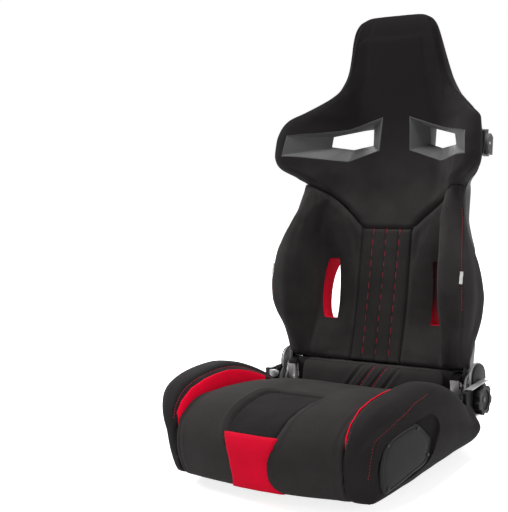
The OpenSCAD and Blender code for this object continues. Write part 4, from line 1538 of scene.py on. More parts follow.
@dataclass
class BackPads:
    """The sewn pads of the back, their slots, linings and tags."""

    finishes: Finishes
    sewing: Sewing
    grid_mm: float = 6.0
    insert_x: float = PANEL_X
    edge_mm: float = 9.0
    panel_rear: float = 34.0
    pressure: float = 3.5
    swell_cap_mm: float = 3.0
    head_pressure: float = 3.0
    head_cap_mm: float = 2.0
    slot_gap_mm: float = 3.0
    belt_gap_mm: float = 2.2
    form: BackForm = field(default_factory=BackForm)

    def build(self) -> None:
        """Builds every pad of the back."""
        self.insert()
        self.bolsters()
        self.head_pad()
        self.liners()
        self.bezels()
        self.tags()

    def v_path(self, low_x: float = PANEL_X, high_x: float = 205.0) -> Array:
        """The sewn V on the right side, in world millimetres.

        Args:
            low_x: Where it starts.
            high_x: Where it ends.

        Returns:
            Points, (60, 3).
        """
        x = np.linspace(low_x, high_x, 60)
        w = np.interp(x, V_LINE[:, 0], V_LINE[:, 1])
        return back_to_world(np.stack([x, self.form.front(x, w), w], axis=1))

    def edge_path(self, x: float, low: float, high: float) -> Array:
        """A line up the front at one x, in world millimetres.

        Args:
            x: Its place across.
            low: Its lowest height.
            high: Its highest height.

        Returns:
            Points, (80, 3).
        """
        w = np.linspace(low, high, 80)
        xs = np.full_like(w, x)
        return back_to_world(np.stack([xs, self.form.front(xs, w), w], axis=1))

    def insert(self) -> None:
        """The ribbed middle panel with its three stitched pleats."""
        w = np.linspace(47, 347.6, 101)
        x = np.linspace(-self.insert_x + 0.4, self.insert_x - 0.4, 209)
        ww, xx = np.meshgrid(w, x, indexing="ij")
        v = self.form.front(xx, ww) - 1.0
        pleat = np.zeros_like(v)
        for line in PLEATS:
            pleat += 2.6 * np.exp(-(((xx - line) / 3.2) ** 2))
        rise = 1.6 * np.sin(np.pi * np.clip(((xx + PANEL_X) % PLEAT_STEP) / PLEAT_STEP, 0, 1)) ** 0.5
        ribs = 0.42 * np.cos(xx * 2 * math.pi / RIB_MM)
        edge = np.minimum(np.minimum(self.insert_x - np.abs(xx), PANEL_TOP - ww), (ww - 46) * 1.2)
        near = np.clip(1 - edge / 7.0, 0, 1)
        v = v + pleat - rise - ribs * (1 - near) + 6.5 * (1 - np.sqrt(1 - near ** 2))
        front = np.stack([xx, v, ww], axis=-1)
        rear = front[:, ::-16].copy()
        rear[..., 1] = self.panel_rear
        grid = back_to_world(np.concatenate([front, rear], axis=1))
        obj = grid_object("back_panel", grid, wrap=True, caps=True)
        dress(obj, self.finishes.ribbed, "backrest", ["back_insert"])
        for line in PLEATS:
            ws = np.linspace(68, 342, 60)
            xs = np.full_like(ws, line)
            path = np.stack([xs, self.form.front(xs, ws) + 0.5, ws], axis=1)
            self.sewing.add("backrest", back_to_world(path), 24.0, 17.0, 1.2)

    def bolsters(self) -> None:
        """The two side pads, swollen once and mirrored."""
        form = self.form
        s0 = float(form.s_at_x(np.array([240.0]), np.array([self.insert_x]))[0])
        dense = np.linspace(s0, SIDE_EDGE, 400)
        front = even_steps(form.at(np.full(400, 240.0), dense), dense, self.grid_mm)
        part = (front - s0) / (SIDE_EDGE - s0)
        cols = len(part)

        def places(w: Array) -> Array:
            """Ring places of the front columns at heights w."""
            start = form.s_at_x(w, np.full_like(w, self.insert_x))
            return start + (SIDE_EDGE - start) * part

        top = form.meet_v(places, cols, 300.0, 466.0)
        rows = int(400 / self.grid_mm)
        grid = []
        for u in np.linspace(0, 1, rows):
            w = BACK_LOW + u * (top - BACK_LOW)
            pts = form.at(w, places(w))
            a, b = pts[-1], pts[0]
            low = np.array([self.insert_x, a[1], b[2]])
            back = [a + (low - a) * k / 8 for k in range(1, 8)]
            wall = [low + (b - low) * k / 6 for k in range(0, 6)]
            grid.append(np.concatenate([pts, back, wall]))
        grid = np.array(grid)
        skin = np.zeros(grid.shape[:2], bool)
        skin[2:-2, 2:cols - 3] = True
        obj = grid_object("right_back_pad", back_to_world(grid), wrap=True, caps=False)
        order = self.match(obj, back_to_world(grid).reshape(-1, 3))
        held = ~skin.ravel()[order]
        self.roll_edge(obj, BACK_LOW, self.edge_mm)
        inflate(obj, held, self.pressure, self.swell_cap_mm)
        for path, seam in self.bolster_seams():
            seam.sew(obj, path)
        crease_noise(obj, 0.5, 90, 3)
        hole = prism("belt_hole", belt_outline(4.0, self.belt_gap_mm), 1, -60, 90)
        write_verts(hole, back_to_world(read_verts(hole)))
        cut(obj, hole)
        for pad, side in both_sides(obj, "left_back_pad"):
            dress(pad, self.finishes.knit, "backrest", [f"{side.word}_back_bolster"])
            self.bolster_stitches(pad, side)

    def bolster_seams(self) -> list[tuple[Array, Seam]]:
        """The lines of sewing on the right side pad.

        Returns:
            Each line with the way its cloth dips.
        """
        form = self.form
        w = np.linspace(56, 444, 90)
        side = form.at(w, self.side_seam(w))
        return [(self.edge_path(self.insert_x, 46, PANEL_TOP), Seam(4.0, 4.0, 1.2, 0.1)),
                (self.v_path(), Seam(2.6, 6.0, 1.0, 0.1)),
                (back_to_world(side), Seam(1.6, 2.6, 0.5, 0.3, 7.0))]

    def bolster_stitches(self, pad: bpy.types.Object, side: Side) -> None:
        """The thread along the side seam.

        Args:
            pad: The side pad.
            side: Its side.
        """
        w = np.linspace(170, 388, 70)
        line = self.form.at(w, self.side_seam(w))
        path = flip_x(back_to_world(line), side)
        self.sewing.add("backrest", snap(pad, path, 0.2), 6.5, 4.6, 1.0)

    @staticmethod
    def side_seam(w: Array) -> Array:
        """Where the side seam lies round the pad at heights w."""
        return np.interp(w, *SEAM_PLACES.T)

    @staticmethod
    def match(obj: bpy.types.Object, points: Array) -> Array:
        """For each mesh point, the number of the grid point it came from.

        Args:
            obj: The mesh, with its doubles merged.
            points: The grid points, (n, 3).

        Returns:
            Numbers, one for each mesh point.
        """
        tree = KDTree(len(points))
        for i, p in enumerate(points):
            tree.insert(p, i)
        tree.balance()
        return np.array([tree.find(v)[1] for v in read_verts(obj)])

    @staticmethod
    def height_of(verts: Array) -> Array:
        """Height w along the back of world points."""
        rel = verts - BACK_ORIGIN
        return -rel[:, 1] * -math.sin(TILT) + rel[:, 2] * math.cos(TILT)

    def roll_edge(self, obj: bpy.types.Object, bottom: float, radius: float) -> None:
        """Rounds a pad's lower edge, whose height along the back is given.

        Args:
            obj: The pad.
            bottom: Height of the edge.
            radius: Radius of the rounding.
        """
        verts, normals = read_verts(obj), read_normals(obj)
        near = np.clip((self.height_of(verts) - bottom) / radius, 0, 1)
        inward = radius * (1 - np.sqrt(1 - (1 - near) ** 2))
        write_verts(obj, verts - normals * inward[:, None])

    def head_pad(self) -> None:
        """The head and shoulder pad, one piece down to the sewn V."""
        form = self.form
        dense = np.linspace(0, 30, 1600)
        ring = even_steps(form.at(np.full(1600, 545.0), dense), dense, self.grid_mm)[:-1]
        cols = len(ring)
        bottom = form.meet_v(lambda w: ring, cols, 300.0, 466.0)
        rows = 76
        grid = [form.at(bottom + u * (BACK_TOP - bottom), ring) for u in np.linspace(0, 1, rows)]
        last = grid[-1]
        middle = last.mean(0)
        for f in (0.86, 0.66, 0.42, 0.18):
            row = middle + (last - middle) * f
            row[:, 2] = BACK_TOP + 3.2 * math.sqrt(1 - f * f)
            grid.append(row)
        grid = np.array(grid)
        obj = grid_object("head_pad", back_to_world(grid), wrap=True, caps=False)
        order = self.match(obj, back_to_world(grid).reshape(-1, 3))
        held = np.ones(grid.shape[:2], bool)
        seen = (ring < 13) | (ring > 17)
        held[2:rows - 8, seen] = False
        inflate(obj, held.ravel()[order], self.head_pressure, self.head_cap_mm)
        v_line = self.v_path()
        x, w = np.linspace(-PANEL_X, PANEL_X, 40), np.full(40, PANEL_TOP)
        low_edge = np.stack([x, form.front(x, w), w], axis=1)
        Seam(5.0, 4.5, 1.2, 0.1).sew(obj, back_to_world(low_edge))
        for side in Side:
            Seam(2.6, 6.0, 1.0, 0.1).sew(obj, flip_x(v_line, side))
            for path, seam in self.head_seams():
                seam.sew(obj, flip_x(path, side))
        crease_noise(obj, 0.6, 120, 5)
        self.cut_slots(obj, self.slot_gap_mm)
        # The head pad's knit darkens upwards by painted shade.
        dress(obj, self.finishes.knit, "backrest", ["head_shoulder_pad"])

    def head_seams(self) -> list[tuple[Array, Seam]]:
        """The lines of sewing on the right half of the head pad.

        Returns:
            Each line with the way its cloth dips.
        """
        w = np.linspace(452, 812, 90)
        crease = self.form.at(w, np.interp(w, [452, 560, 640, 700, 812], [9.9, 9.9, 9.2, 8.6, 8.4]))
        return [(back_to_world(crease), Seam(1.3, 2.6, 0.7, 0.25, 8.0))]

    def slot_plug(self, grow: float, side: Side) -> bpy.types.Object:
        """The shoulder belt slot's inside, as a closed form.

        Args:
            grow: Growth in millimetres.
            side: The side.

        Returns:
            The object.
        """
        mouth = divided(slot_point(MOUTH, "mouth", grow))
        mouth[:, 1] = self.form.front(mouth[:, 0], mouth[:, 2])
        inner = [(THROAT, 0.0), (OUTLET, 0.0), (OUTLET, 16.0)]
        rings = np.stack([mouth - (0, 60, 0), mouth]
                         + [divided(slot_point(part, "throat", grow, shift)) for part, shift in inner])
        return grid_object("slot_plug", flip_x(back_to_world(rings), side), wrap=True, caps=True)

    def cut_slots(self, obj: bpy.types.Object, grow: float, how: Cutter = Cutter.SOLID) -> None:
        """Cuts both shoulder belt slots through a piece."""
        for side in Side:
            cut(obj, self.slot_plug(grow, side), how)

    def bezels(self) -> None:
        """The moulded plastic frames of the shoulder belt slots."""
        reach = np.clip((66 - THROAT[:, 1]) / (OUTLET[:, 1] - THROAT[:, 1]), 0, 1)[:, None]
        back = THROAT + (OUTLET - THROAT) * reach
        rows = []
        for grow, lift in ((2.8, 1.5), (2.8, -0.6), (2.0, -1.8), (0.8, -1.8), (0.0, -0.4)):
            ring = divided(slot_point(MOUTH, "mouth", grow))
            ring[:, 1] = self.form.front(ring[:, 0], ring[:, 2]) + lift
            rows.append(ring)
        rows += [divided(slot_point(part, "throat", grow))
                 for part, grow in ((THROAT, 0.0), (back, 0.0), (back, 2.2), (THROAT, 2.2))]
        pair("slot_frame", back_to_world(np.stack(rows)), self.finishes.grey, "backrest",
             "harness_bezel", 24, 0.4, closed=True)

    def liners(self) -> None:
        """The red linings of the lap belt slots, with a welted edge."""
        line = belt_outline(3.0)

        def ring(out: float, depth: float | None, lift: float = 0.0) -> Array:
            """One ring of the lining.

            Args:
                out: Growth of the outline.
                depth: Its depth v, or None for the depth of the front.
                lift: Added to the depth of the front.

            Returns:
                Points (x, v, w).
            """
            xw = offset_outline(line, out)
            v = self.form.front(xw[:, 0], xw[:, 1]) + lift if depth is None else np.full(len(xw), depth)
            return np.stack([xw[:, 0], v, xw[:, 1]], axis=1)

        welt = ((3.0, 2.0), (3.0, -0.4), (2.0, -1.9), (0.6, -1.7), (-0.2, 0.2))
        rows = [ring(out, None, lift) for out, lift in welt]
        first, last = ring(-0.2, None, 4.0), ring(-0.2, LINING_V)
        rows += [first + (last - first) * k / 8 for k in range(9)]
        rows += [ring(1.7, LINING_V), ring(1.7, None, 5.0)]
        for side in Side:
            obj = ring_torus(f"{side.word}_belt_lining", [flip_x(back_to_world(r), side) for r in rows])
            # The right lining gets the red with painted shade, the left one the plain red.
            cloth = self.finishes.shaded if side is Side.RIGHT else self.finishes.red
            dress(obj, cloth, "backrest", [f"{side.word}_belt_liner"], 60)

    def tags(self) -> None:
        """The small woven tags in the side seams, folded double and left plain."""
        turn = math.radians(24)
        prof = [(-4, 0.8), (0.5, 0.8), (2.2, 0.6), (2.8, 0), (2.2, -0.6), (0.5, -0.8), (-4, -0.8)]
        rows = []
        for w in np.linspace(222, 248, 12):
            wave = 0.3 * math.sin(w * 0.5)
            rows.append([(239 + a * math.cos(turn) - b * math.sin(turn),
                          -88 + a * math.sin(turn) + b * math.cos(turn) + wave, w) for a, b in prof])
        grid = back_to_world(np.array(rows))
        pair("seam_tag", grid, self.finishes.tag, "backrest", "tag")


# ---------------------------------------------------------------- the seat

AXIS = np.array([168.0, 106.0])
# The recliner's axis is above. Half widths of the cushion and the roll, radii of what lies round
# the axis, and the turn of the side plates about a point (x, y) with their screws in (y, z).
CUSHION_X = 197.0
ROLL_X = 178.0
GAP_RADIUS, DISC_GUARD_RADIUS, HEEL_GUARD_RADIUS = 54.0, 53.0, 56.6
PLATE_TURN = math.radians(-13)
PLATE_PIVOT = np.array([285.0, -110.0])
PLATE_SCREWS = ((-156, 142), (-131, 84), (-246, 50), (-240, 132))
SIDE_PROFILE = np.array([
    [136, 42, 0, 0], [136, 116, 0, 0], [106, 124, 0.6, 0], [60, 136, 1, 0], [15, 148, 1, 0],
    [-38, 160, 1, 0], [-80, 168, 1, 0], [-130, 175, 1, 0], [-180, 179, 1, 0.1],
    [-225, 178, 1, 0.3], [-262, 172, 1, 0.7], [-290, 162, 0.7, 1], [-310, 147, 0.4, 1],
    [-323, 126, 0.2, 1], [-329, 100, 0, 1], [-327, 72, 0, 1], [-319, 48, 0, 1],
    [-306, 31, 0, 0.9], [-288, 24, 0, 0.7], [-266, 25, 0, 0.3], [-258, 42, 0, 0]], float)
BOLSTER_ROWS = np.array([
    [-303, 108, 112, 208, 106, 212, 88, 70], [-299, 130, 138, 224, 128, 220, 92, 52],
    [-291, 152, 163, 237, 150, 228, 96, 36], [-276, 172, 184, 249, 171, 239, 100, 26],
    [-256, 187, 198, 260, 185, 253, 104, 19], [-226, 197, 207, 268, 196, 271, 106, 17],
    [-185, 203, 213, 274, 203, 287, 106, 17], [-135, 203, 214, 276, 205, 292, 106, 17],
    [-90, 198, 211, 276, 203, 292, 105, 17], [-50, 188, 202, 275, 194, 291, 103, 17],
    [0, 167, 181, 272, 172, 288, 96, 17], [48, 142, 155, 266, 144, 284, 82, 17],
    [88, 118, 127, 259, 115, 280, 68, 17], [106, 106, 114, 260, 104, 280, 64, 17],
    [126, 92, 100, 256, 92, 272, 58, 17], [138, 80, 89, 252, 82, 263, 54, 19],
    [148, 62, 70, 246, 64, 253, 48, 24], [154, 46, 50, 238, 47, 242, 42, 33]], float)
ACCENT_ROWS = np.array([
    [-288, 136, 156], [-271, 154, 175], [-236, 168, 193], [-190, 174, 200], [-150, 174, 201],
    [-110, 172, 199], [-70, 166, 190], [-35, 158, 178], [-5, 151, 165], [22, 146, 152]], float)
ROLL_LINE = np.array([
    [136.3, 44], [136.3, 118], [141, 132], [146.5, 145], [152, 153.5], [158, 158.5],
    [163.0, 159.5], [163.5, 150], [152, 116], [150, 90], [150, 44]], float)
PLATE = np.array([
    [-164, 156], [-152, 149], [-135, 133], [-118, 113], [-123, 94], [-136, 71], [-176, 58],
    [-216, 47], [-252, 40], [-259, 52], [-262, 72], [-261, 92], [-257, 109], [-249, 126],
    [-233, 141], [-202, 151]], float)
PLATE_HOLLOW = np.array([
    [-202, 156], [-162, 162], [-138, 162], [-116, 160], [-98, 151], [-91, 138], [-93, 122],
    [-104, 104], [-124, 66], [-176, 50], [-216, 39], [-254, 32], [-264, 48], [-268, 72],
    [-267, 94], [-262, 112], [-254, 131], [-236, 147]], float)
OUTER_SEAM = np.array([
    [245, -284, 77], [246, -278, 110], [247, -273, 134], [249, -264, 152], [253, -247, 163],
    [259, -223, 177], [267, -190, 186], [271, -169, 192], [275, -120, 196], [275, -70, 192],
    [272, -20, 172], [268, 30, 146]], float)
INSERT_WIDTH = np.array([[22, 66], [32, 60], [44, 50], [60, 45], [80, 45], [97, 46], [118, 53],
                         [134, 61], [150, 68]], float)


def cushion_side(y: Array) -> Array:
    """Half width of the cushion at a depth y."""
    return np.where(y > -60, CUSHION_X - 21 * ((y + 60) / 196) ** 2, CUSHION_X)


def turned(points: Array) -> Array:
    """Turns points from the side plate's own plane into place, (x, y, z).

    Args:
        points: Points, (..., 3).

    Returns:
        The points, in the same shape.
    """
    c, s = math.cos(PLATE_TURN), math.sin(PLATE_TURN)
    out = points.copy()
    x, y = points[..., 0] - PLATE_PIVOT[0], points[..., 1] - PLATE_PIVOT[1]
    out[..., 0] = PLATE_PIVOT[0] + x * c - y * s
    out[..., 1] = PLATE_PIVOT[1] + x * s + y * c
    return out


class CushionForm:
    """The smooth outside of the seat cushion."""

    def __init__(self) -> None:
        """Lofts the side profile across the seat."""
        t = np.array([-1, -0.96, -0.88, -0.76, -0.62, -0.46, -0.3, -0.15, 0, 0.15, 0.3, 0.46, 0.62,
                      0.76, 0.88, 0.96, 1])
        rings = []
        for s in t:
            x = s * cushion_side(SIDE_PROFILE[:, 0])
            crown = np.where(np.abs(x) < 58, 0, 6 * (1 - ((np.abs(x) - 122) / 70) ** 2))
            drop = np.where(np.abs(x) > 190, -(np.abs(x) - 190) * 0.55, 0)
            far = np.clip((np.abs(x) - 150) / 45, 0, 1) ** 2
            drop -= 9.0 * far * np.interp(SIDE_PROFILE[:, 0], [-235, -170, 10, 60], [0, 1, 1, 0])
            y = SIDE_PROFILE[:, 0] + SIDE_PROFILE[:, 3] * 24 * (x / CUSHION_X) ** 2
            z = SIDE_PROFILE[:, 1] + SIDE_PROFILE[:, 2] * (crown + drop)
            rings.append(np.stack([x, y, z], axis=1))
        self.loft = Loft(t, np.array(rings), (0, 1, 20))

    def at(self, t: Array, q: Array) -> Array:
        """Points at places t across (-1 to 1) and q round the side profile."""
        return self.loft.points(t, q)

    def normal(self, t: Array, q: Array) -> Array:
        """Outward directions at such places.

        Args:
            t: Places across.
            q: Places round the side profile.

        Returns:
            Directions, (..., 3).
        """
        dt = self.at(np.minimum(t + 0.01, 1), q) - self.at(np.maximum(t - 0.01, -1), q)
        dq = self.at(t, q + 0.05) - self.at(t, q - 0.05)
        n = np.cross(dq, dt)
        n /= np.linalg.norm(n, axis=-1, keepdims=True) + 1e-9
        return n


@dataclass
class SeatPads:
    """The seat cushion with its sunken pad and insert, the roll, the side pads and their plates."""

    finishes: Finishes
    sewing: Sewing
    screws: Fasteners
    grid_mm: float = 6.0
    hollow_x: float = 73.0
    hollow_rear: float = -131.0
    hollow_front: float = -316.0
    hollow_deep: float = 9.5
    corner_mm: float = 30.0
    cushion_pressure: float = 4.0
    cushion_cap_mm: float = 4.0
    center_pressure: float = 3.0
    center_cap_mm: float = 2.2
    side_pressure: float = 3.5
    side_cap_mm: float = 3.0
    gap_cloth_mm: float = 1.6
    plate_screw_mm: float = 2.8
    plate_x: float = float(PLATE_PIVOT[0])
    form: CushionForm = field(default_factory=CushionForm)

    def build(self) -> None:
        """Builds every pad of the seat."""
        self.cushion()
        self.center_pad()
        self.front_insert()
        self.roll()
        self.side_pads()
        self.accents()
        self.plates()

    @staticmethod
    def half_hollow(y: Array) -> Array:
        """Half width of the hollow at depths y."""
        return np.interp(y, [-316, -296, -225, -165, -150], [57.5, 64, 68.5, 73, 73])

    def inside(self, x: Array, y: Array, grow: float = 0.0) -> Array:
        """Distance inside the outline of the hollow, negative outside.

        Args:
            x: Places across.
            y: Depths.
            grow: Growth of the outline.

        Returns:
            Distances, in the shape of x.
        """
        hw, r = self.half_hollow(y) + grow, self.corner_mm
        rear = self.hollow_rear + grow
        qx, qy = np.abs(x) - (hw - r), y - (rear - r)
        out = np.hypot(np.maximum(qx, 0), np.maximum(qy, 0)) + np.minimum(np.maximum(qx, qy), 0) - r
        return -out

    def hollow_path(self, grow: float) -> Array:
        """The rim of the hollow, open at the front, (n, 2) in x and y.

        Args:
            grow: Growth of the outline.

        Returns:
            Points, (n, 2).
        """
        hw, r, rear = self.hollow_x + grow, self.corner_mm, self.hollow_rear + grow
        depth = np.linspace(self.hollow_front, rear - r, 30)[:-1]
        a = np.linspace(0, math.pi / 2, 16)
        right = np.stack([hw - r + r * np.cos(a), rear - r + r * np.sin(a)], axis=1)
        front = np.stack([self.half_hollow(depth) + grow, depth], axis=1)
        half = np.concatenate([front, right])
        return np.concatenate([half, half[::-1] * (-1, 1)])

    def top_z(self, x: Array, y: Array) -> Array:
        """Height of the cushion's plain top over places (x, y).

        Args:
            x: Places across.
            y: Depths.

        Returns:
            Heights, in the shape of x.
        """
        t = x / CUSHION_X
        front, rear = np.full_like(x, 14.0), np.full_like(x, 1.0)
        q, _ = close_in(rear, front, 22, lambda q: self.form.at(t, q)[..., 1] > y)
        return self.form.at(t, q)[..., 2]

    def cushion(self) -> None:
        """The main cushion: swollen, then pressed in for its pad, then sewn."""
        dense = np.linspace(0, 21, 900)
        q = even_steps(self.form.at(np.zeros(900), dense), dense, self.grid_mm)[:-1]
        t = np.linspace(-1, 1, 67)
        tt, qq = np.meshgrid(t, q, indexing="ij")
        grid = self.form.at(tt, qq)
        obj = grid_object("seat_cushion_cover", grid, wrap=True, caps=False)
        verts = read_verts(obj)
        held = (np.abs(verts[:, 0]) > cushion_side(verts[:, 1]) - 8) | (verts[:, 2] < 52)
        held |= verts[:, 1] > 118
        held |= np.abs(self.inside(verts[:, 0], verts[:, 1])) < 7
        inflate(obj, held, self.cushion_pressure, self.cushion_cap_mm)
        verts = read_verts(obj)
        deep = np.clip(self.inside(verts[:, 0], verts[:, 1], 2.0) / 6.0, 0, 1)
        deep = deep * deep * (3 - 2 * deep) * self.hollow_deep * (verts[:, 2] > 120)
        verts[:, 2] -= deep
        write_verts(obj, verts)
        for path, seam in self.cushion_seams():
            seam.sew(obj, path)
        crease_noise(obj, 0.8, 110, 8)
        # The cushion gets the knit painted lighter for the overhead light.
        dress(obj, self.finishes.seat_knit, "base", ["seat_cushion"])

    def cushion_seams(self) -> list[tuple[Array, Seam]]:
        """The lines of sewing on the cushion.

        Returns:
            Each line with the way its cloth dips.
        """
        rim = self.hollow_path(3.5)
        z = self.top_z(rim[:, 0], rim[:, 1])
        out = [(np.column_stack([rim, z]), Seam(0.6, 3.0, 1.6, 0.3, 14.0))]
        q = np.linspace(2.2, 17, 120)
        for side in Side:
            edge = self.form.at(np.full(120, 0.93 * side.value), q)
            out.append((edge, Seam(0.9, 3.0, 0.6, 0.2, 11.0)))
        return out

    def center_pad(self) -> None:
        """The darker pad sunk in the cushion."""
        y = np.linspace(self.hollow_front + 1, self.hollow_rear - 3, 62)
        r = self.corner_mm
        hw = self.half_hollow(y) - 3
        late = np.maximum(y - (self.hollow_rear - r), 0)
        hw -= r - np.sqrt(np.maximum(r * r - late * late, 9.0))
        u = np.linspace(-1, 1, 47)
        rows = []
        for yi, wi in zip(y, hw):
            x = wi * np.sign(u) * (1 - (1 - np.abs(u)) ** 1.15)
            yy = np.full_like(x, yi)
            edge = np.minimum(self.inside(x, yy, -2.5), (yi - self.hollow_front) + 5)
            near = np.clip(1 - edge / 11.0, 0, 1)
            z = self.top_z(x, yy) - 3.6 - 7.0 * (1 - np.sqrt(1 - near ** 2))
            top = np.stack([x, yy, z], axis=1)
            under = top[::-4].copy()
            under[:, 2] = self.top_z(under[:, 0], under[:, 1]) - 14.5
            rows.append(np.concatenate([top, under]))
        obj = grid_object("seat_center_pad", np.array(rows), wrap=True, caps=False)
        verts = read_verts(obj)
        held = self.inside(verts[:, 0], verts[:, 1], -2.5) < 7
        held |= verts[:, 1] < self.hollow_front + 6
        inflate(obj, held, self.center_pressure, self.center_cap_mm)
        crease_noise(obj, 0.5, 60, 11)
        dress(obj, self.finishes.pad_knit, "base", ["cushion_center_pad"])

    def front_insert(self) -> None:
        """The red panel on the cushion's nose."""
        dense = np.linspace(12.2, 17.6, 400)
        q = even_steps(self.form.at(np.zeros(400), dense), dense, 2.6)
        u = np.linspace(-1, 1, 49)
        z = self.form.at(np.zeros(len(q)), q)[:, 2]
        half = np.interp(z, INSERT_WIDTH[:, 0], INSERT_WIDTH[:, 1])
        xx = half[:, None] * u[None, :]
        tt, qq = xx / CUSHION_X, np.repeat(q[:, None], len(u), axis=1)
        base, out = self.form.at(tt, qq), self.form.normal(tt, qq)
        side = (1 - np.abs(u))[None, :] * half[:, None]
        end = np.minimum(z[0] - z, z - z[-1])[:, None] + 0 * side
        near = np.clip(1 - np.minimum(side, end) / 8.0, 0, 1)
        lift = -2.0 + 5.0 * np.sqrt(1 - near ** 2)
        top = base + out * lift[..., None]
        under = (base - out * 4.0)[:, ::-4]
        obj = grid_object("front_red_panel", np.concatenate([top, under], axis=1), wrap=True, caps=True)
        crease_noise(obj, 0.3, 60, 2)
        dress(obj, self.finishes.red, "base", ["front_insert"])

    def roll(self) -> None:
        """The roll behind the cushion, with its slanted channels."""
        s = np.linspace(0, 11, 900)
        ring = even_steps(on_rings(ROLL_LINE[None], s[None], (0, 10))[0], s, 3.0)[:-1]
        line = on_rings(ROLL_LINE[None], ring[None], (0, 10))[0]
        x = np.linspace(-ROLL_X, ROLL_X, 150)
        middle = np.array([147.0, 100.0])
        rows = []
        for xi in x:
            d = min(ROLL_X - abs(xi), 12.0)
            f = 1 - 0.28 * (1 - math.sqrt(max(0.0, 1 - (1 - d / 12.0) ** 2)))
            yz = middle + (line - middle) * (f, 0.3 * f + 0.7)
            rows.append(np.column_stack([np.full(len(yz), xi), yz]))
        obj = grid_object("rear_roll_cover", np.array(rows), wrap=True)
        close_ends(obj)
        for foot in range(-146, 160, 31):
            z = np.linspace(108, 158, 24)
            y = np.interp(z, [108, 118, 132, 145, 153.5, 158.5], [136.3, 136.3, 141, 146.5, 152, 158])
            path = np.stack([foot + 0.7 * (z - 117), y, z], axis=1)
            if abs(foot + 6) < 70:
                Seam(1.8, 3.4, 1.2, 0.0).sew(obj, path)
            if abs(foot + 4) < 20:
                self.sewing.add("base", snap(obj, path[2:], 0.3), 7.0, 5.0, 1.3)
        # The roll gets the knit painted lighter for the overhead light.
        dress(obj, self.finishes.seat_knit, "base", ["rear_roll"])
        self.gap_cloth()
        self.guards()

    def gap_cloth(self) -> None:
        """The cloth that closes the gap under the backrest, round the recliner's axis."""
        foot = [[152.5, 58], [154, 84], [155, 110], [156, 134], [157.5, 150]]
        line = np.concatenate([foot, self.arc(GAP_RADIUS, -8)])
        out = np.gradient(line, axis=0)
        out = np.stack([-out[:, 1], out[:, 0]], axis=1) / np.linalg.norm(out, axis=1, keepdims=True)
        x = np.linspace(-CUSHION_X - 0.5, CUSHION_X + 0.5, 80)
        wave = 0.5 * np.sin(x * 0.09) + 0.3 * np.sin(x * 0.31)
        ring = np.concatenate([line, line[::-1] + out[::-1] * self.gap_cloth_mm])
        grid = np.empty((len(x), len(ring), 3))
        grid[..., 0] = x[:, None]
        grid[..., 1:] = ring[None] - np.concatenate([out, out[::-1]])[None] * wave[:, None, None] * 0.6
        obj = grid_object("gap_cloth", grid, wrap=True, caps=True)
        dress(obj, self.finishes.knit, "base", ["rear_roll"])

    def guards(self) -> None:
        """The moulded guards over the recliner discs and under the backrest's lower corners."""
        black = self.finishes.black

        def shell(line: Array, grow: float, low: float, high: float) -> Array:
            """A curved wall between two places on X, from one face's line."""
            wall = np.concatenate([line, AXIS + (line[::-1] - AXIS) * (1 + grow)])
            return across(np.linspace(low, high, 8), wall)

        line = np.concatenate([[[148.2, 130], [147.8, 142]], self.arc(DISC_GUARD_RADIUS, -22)])
        pair("disc_guard", shell(line, -1.5 / DISC_GUARD_RADIUS, 198.0, 218.4), black, "base",
             "recliner_disc", 35)
        line = self.arc(HEEL_GUARD_RADIUS, 2)[:22]
        pair("heel_guard", shell(line, 2.2 / HEEL_GUARD_RADIUS, 192.0, 214.5), black, "backrest",
             "frame_leg", 35)

    @staticmethod
    def arc(radius: float, start: float) -> Array:
        """An arc round the recliner's axis, (n, 2) in y and z."""
        a = np.radians(np.linspace(start, 86, 42))
        return AXIS + radius * np.stack([np.sin(a), np.cos(a)], axis=1)

    @staticmethod
    def bolster_ring(row: Array) -> Array:
        """One station of the right side pad, (16, 3).

        Args:
            row: A row of BOLSTER_ROWS.

        Returns:
            Points (x, y, z).
        """
        y, zi, zr, xs, zs, xm, zm, zb = row
        inner = 205.2 if y > 80 else float(cushion_side(np.array([y]))[0]) + 0.8
        low = float(np.interp(y, ACCENT_ROWS[:, 0], ACCENT_ROWS[:, 1]))
        xt, xb = 198.0, min(232, xm - 18)
        zl = max(zb + 5, min(low - 11, zi - 14))
        x0 = max(xt + 3.9, inner + 0.3)
        x1 = max(xt + 0.17 * (xs - xt), x0 + 1)
        x2 = max(xt + 0.3 * (xs - xt), x1 + 1)
        pts = [(inner, zb + 2), (inner, zl), (x0, zl), (x0 + 0.5, zi - 3), (x1, zi), (x2, zr - 2),
               (max(xt + 0.52 * (xs - xt), x2 + 1), zr), (max(xt + 0.8 * (xs - xt), x2 + 2), zr - 2),
               (max(xs, x2 + 3), zs), (xs + 0.55 * (xm - xs), (zs + zm) / 2 + min(7, 0.1 * (zs - zm))),
               (xm, zm), (xm - 0.14 * (xm - xb), zb + 0.66 * (zm - zb)),
               (xm - 0.42 * (xm - xb), zb + 0.34 * (zm - zb)),
               (xm - 0.78 * (xm - xb), zb + 0.1 * (zm - zb)), (xb, zb + 1),
               (inner + 0.3 * (xb - inner), zb)]
        return np.array([(x, y, z) for x, z in pts])

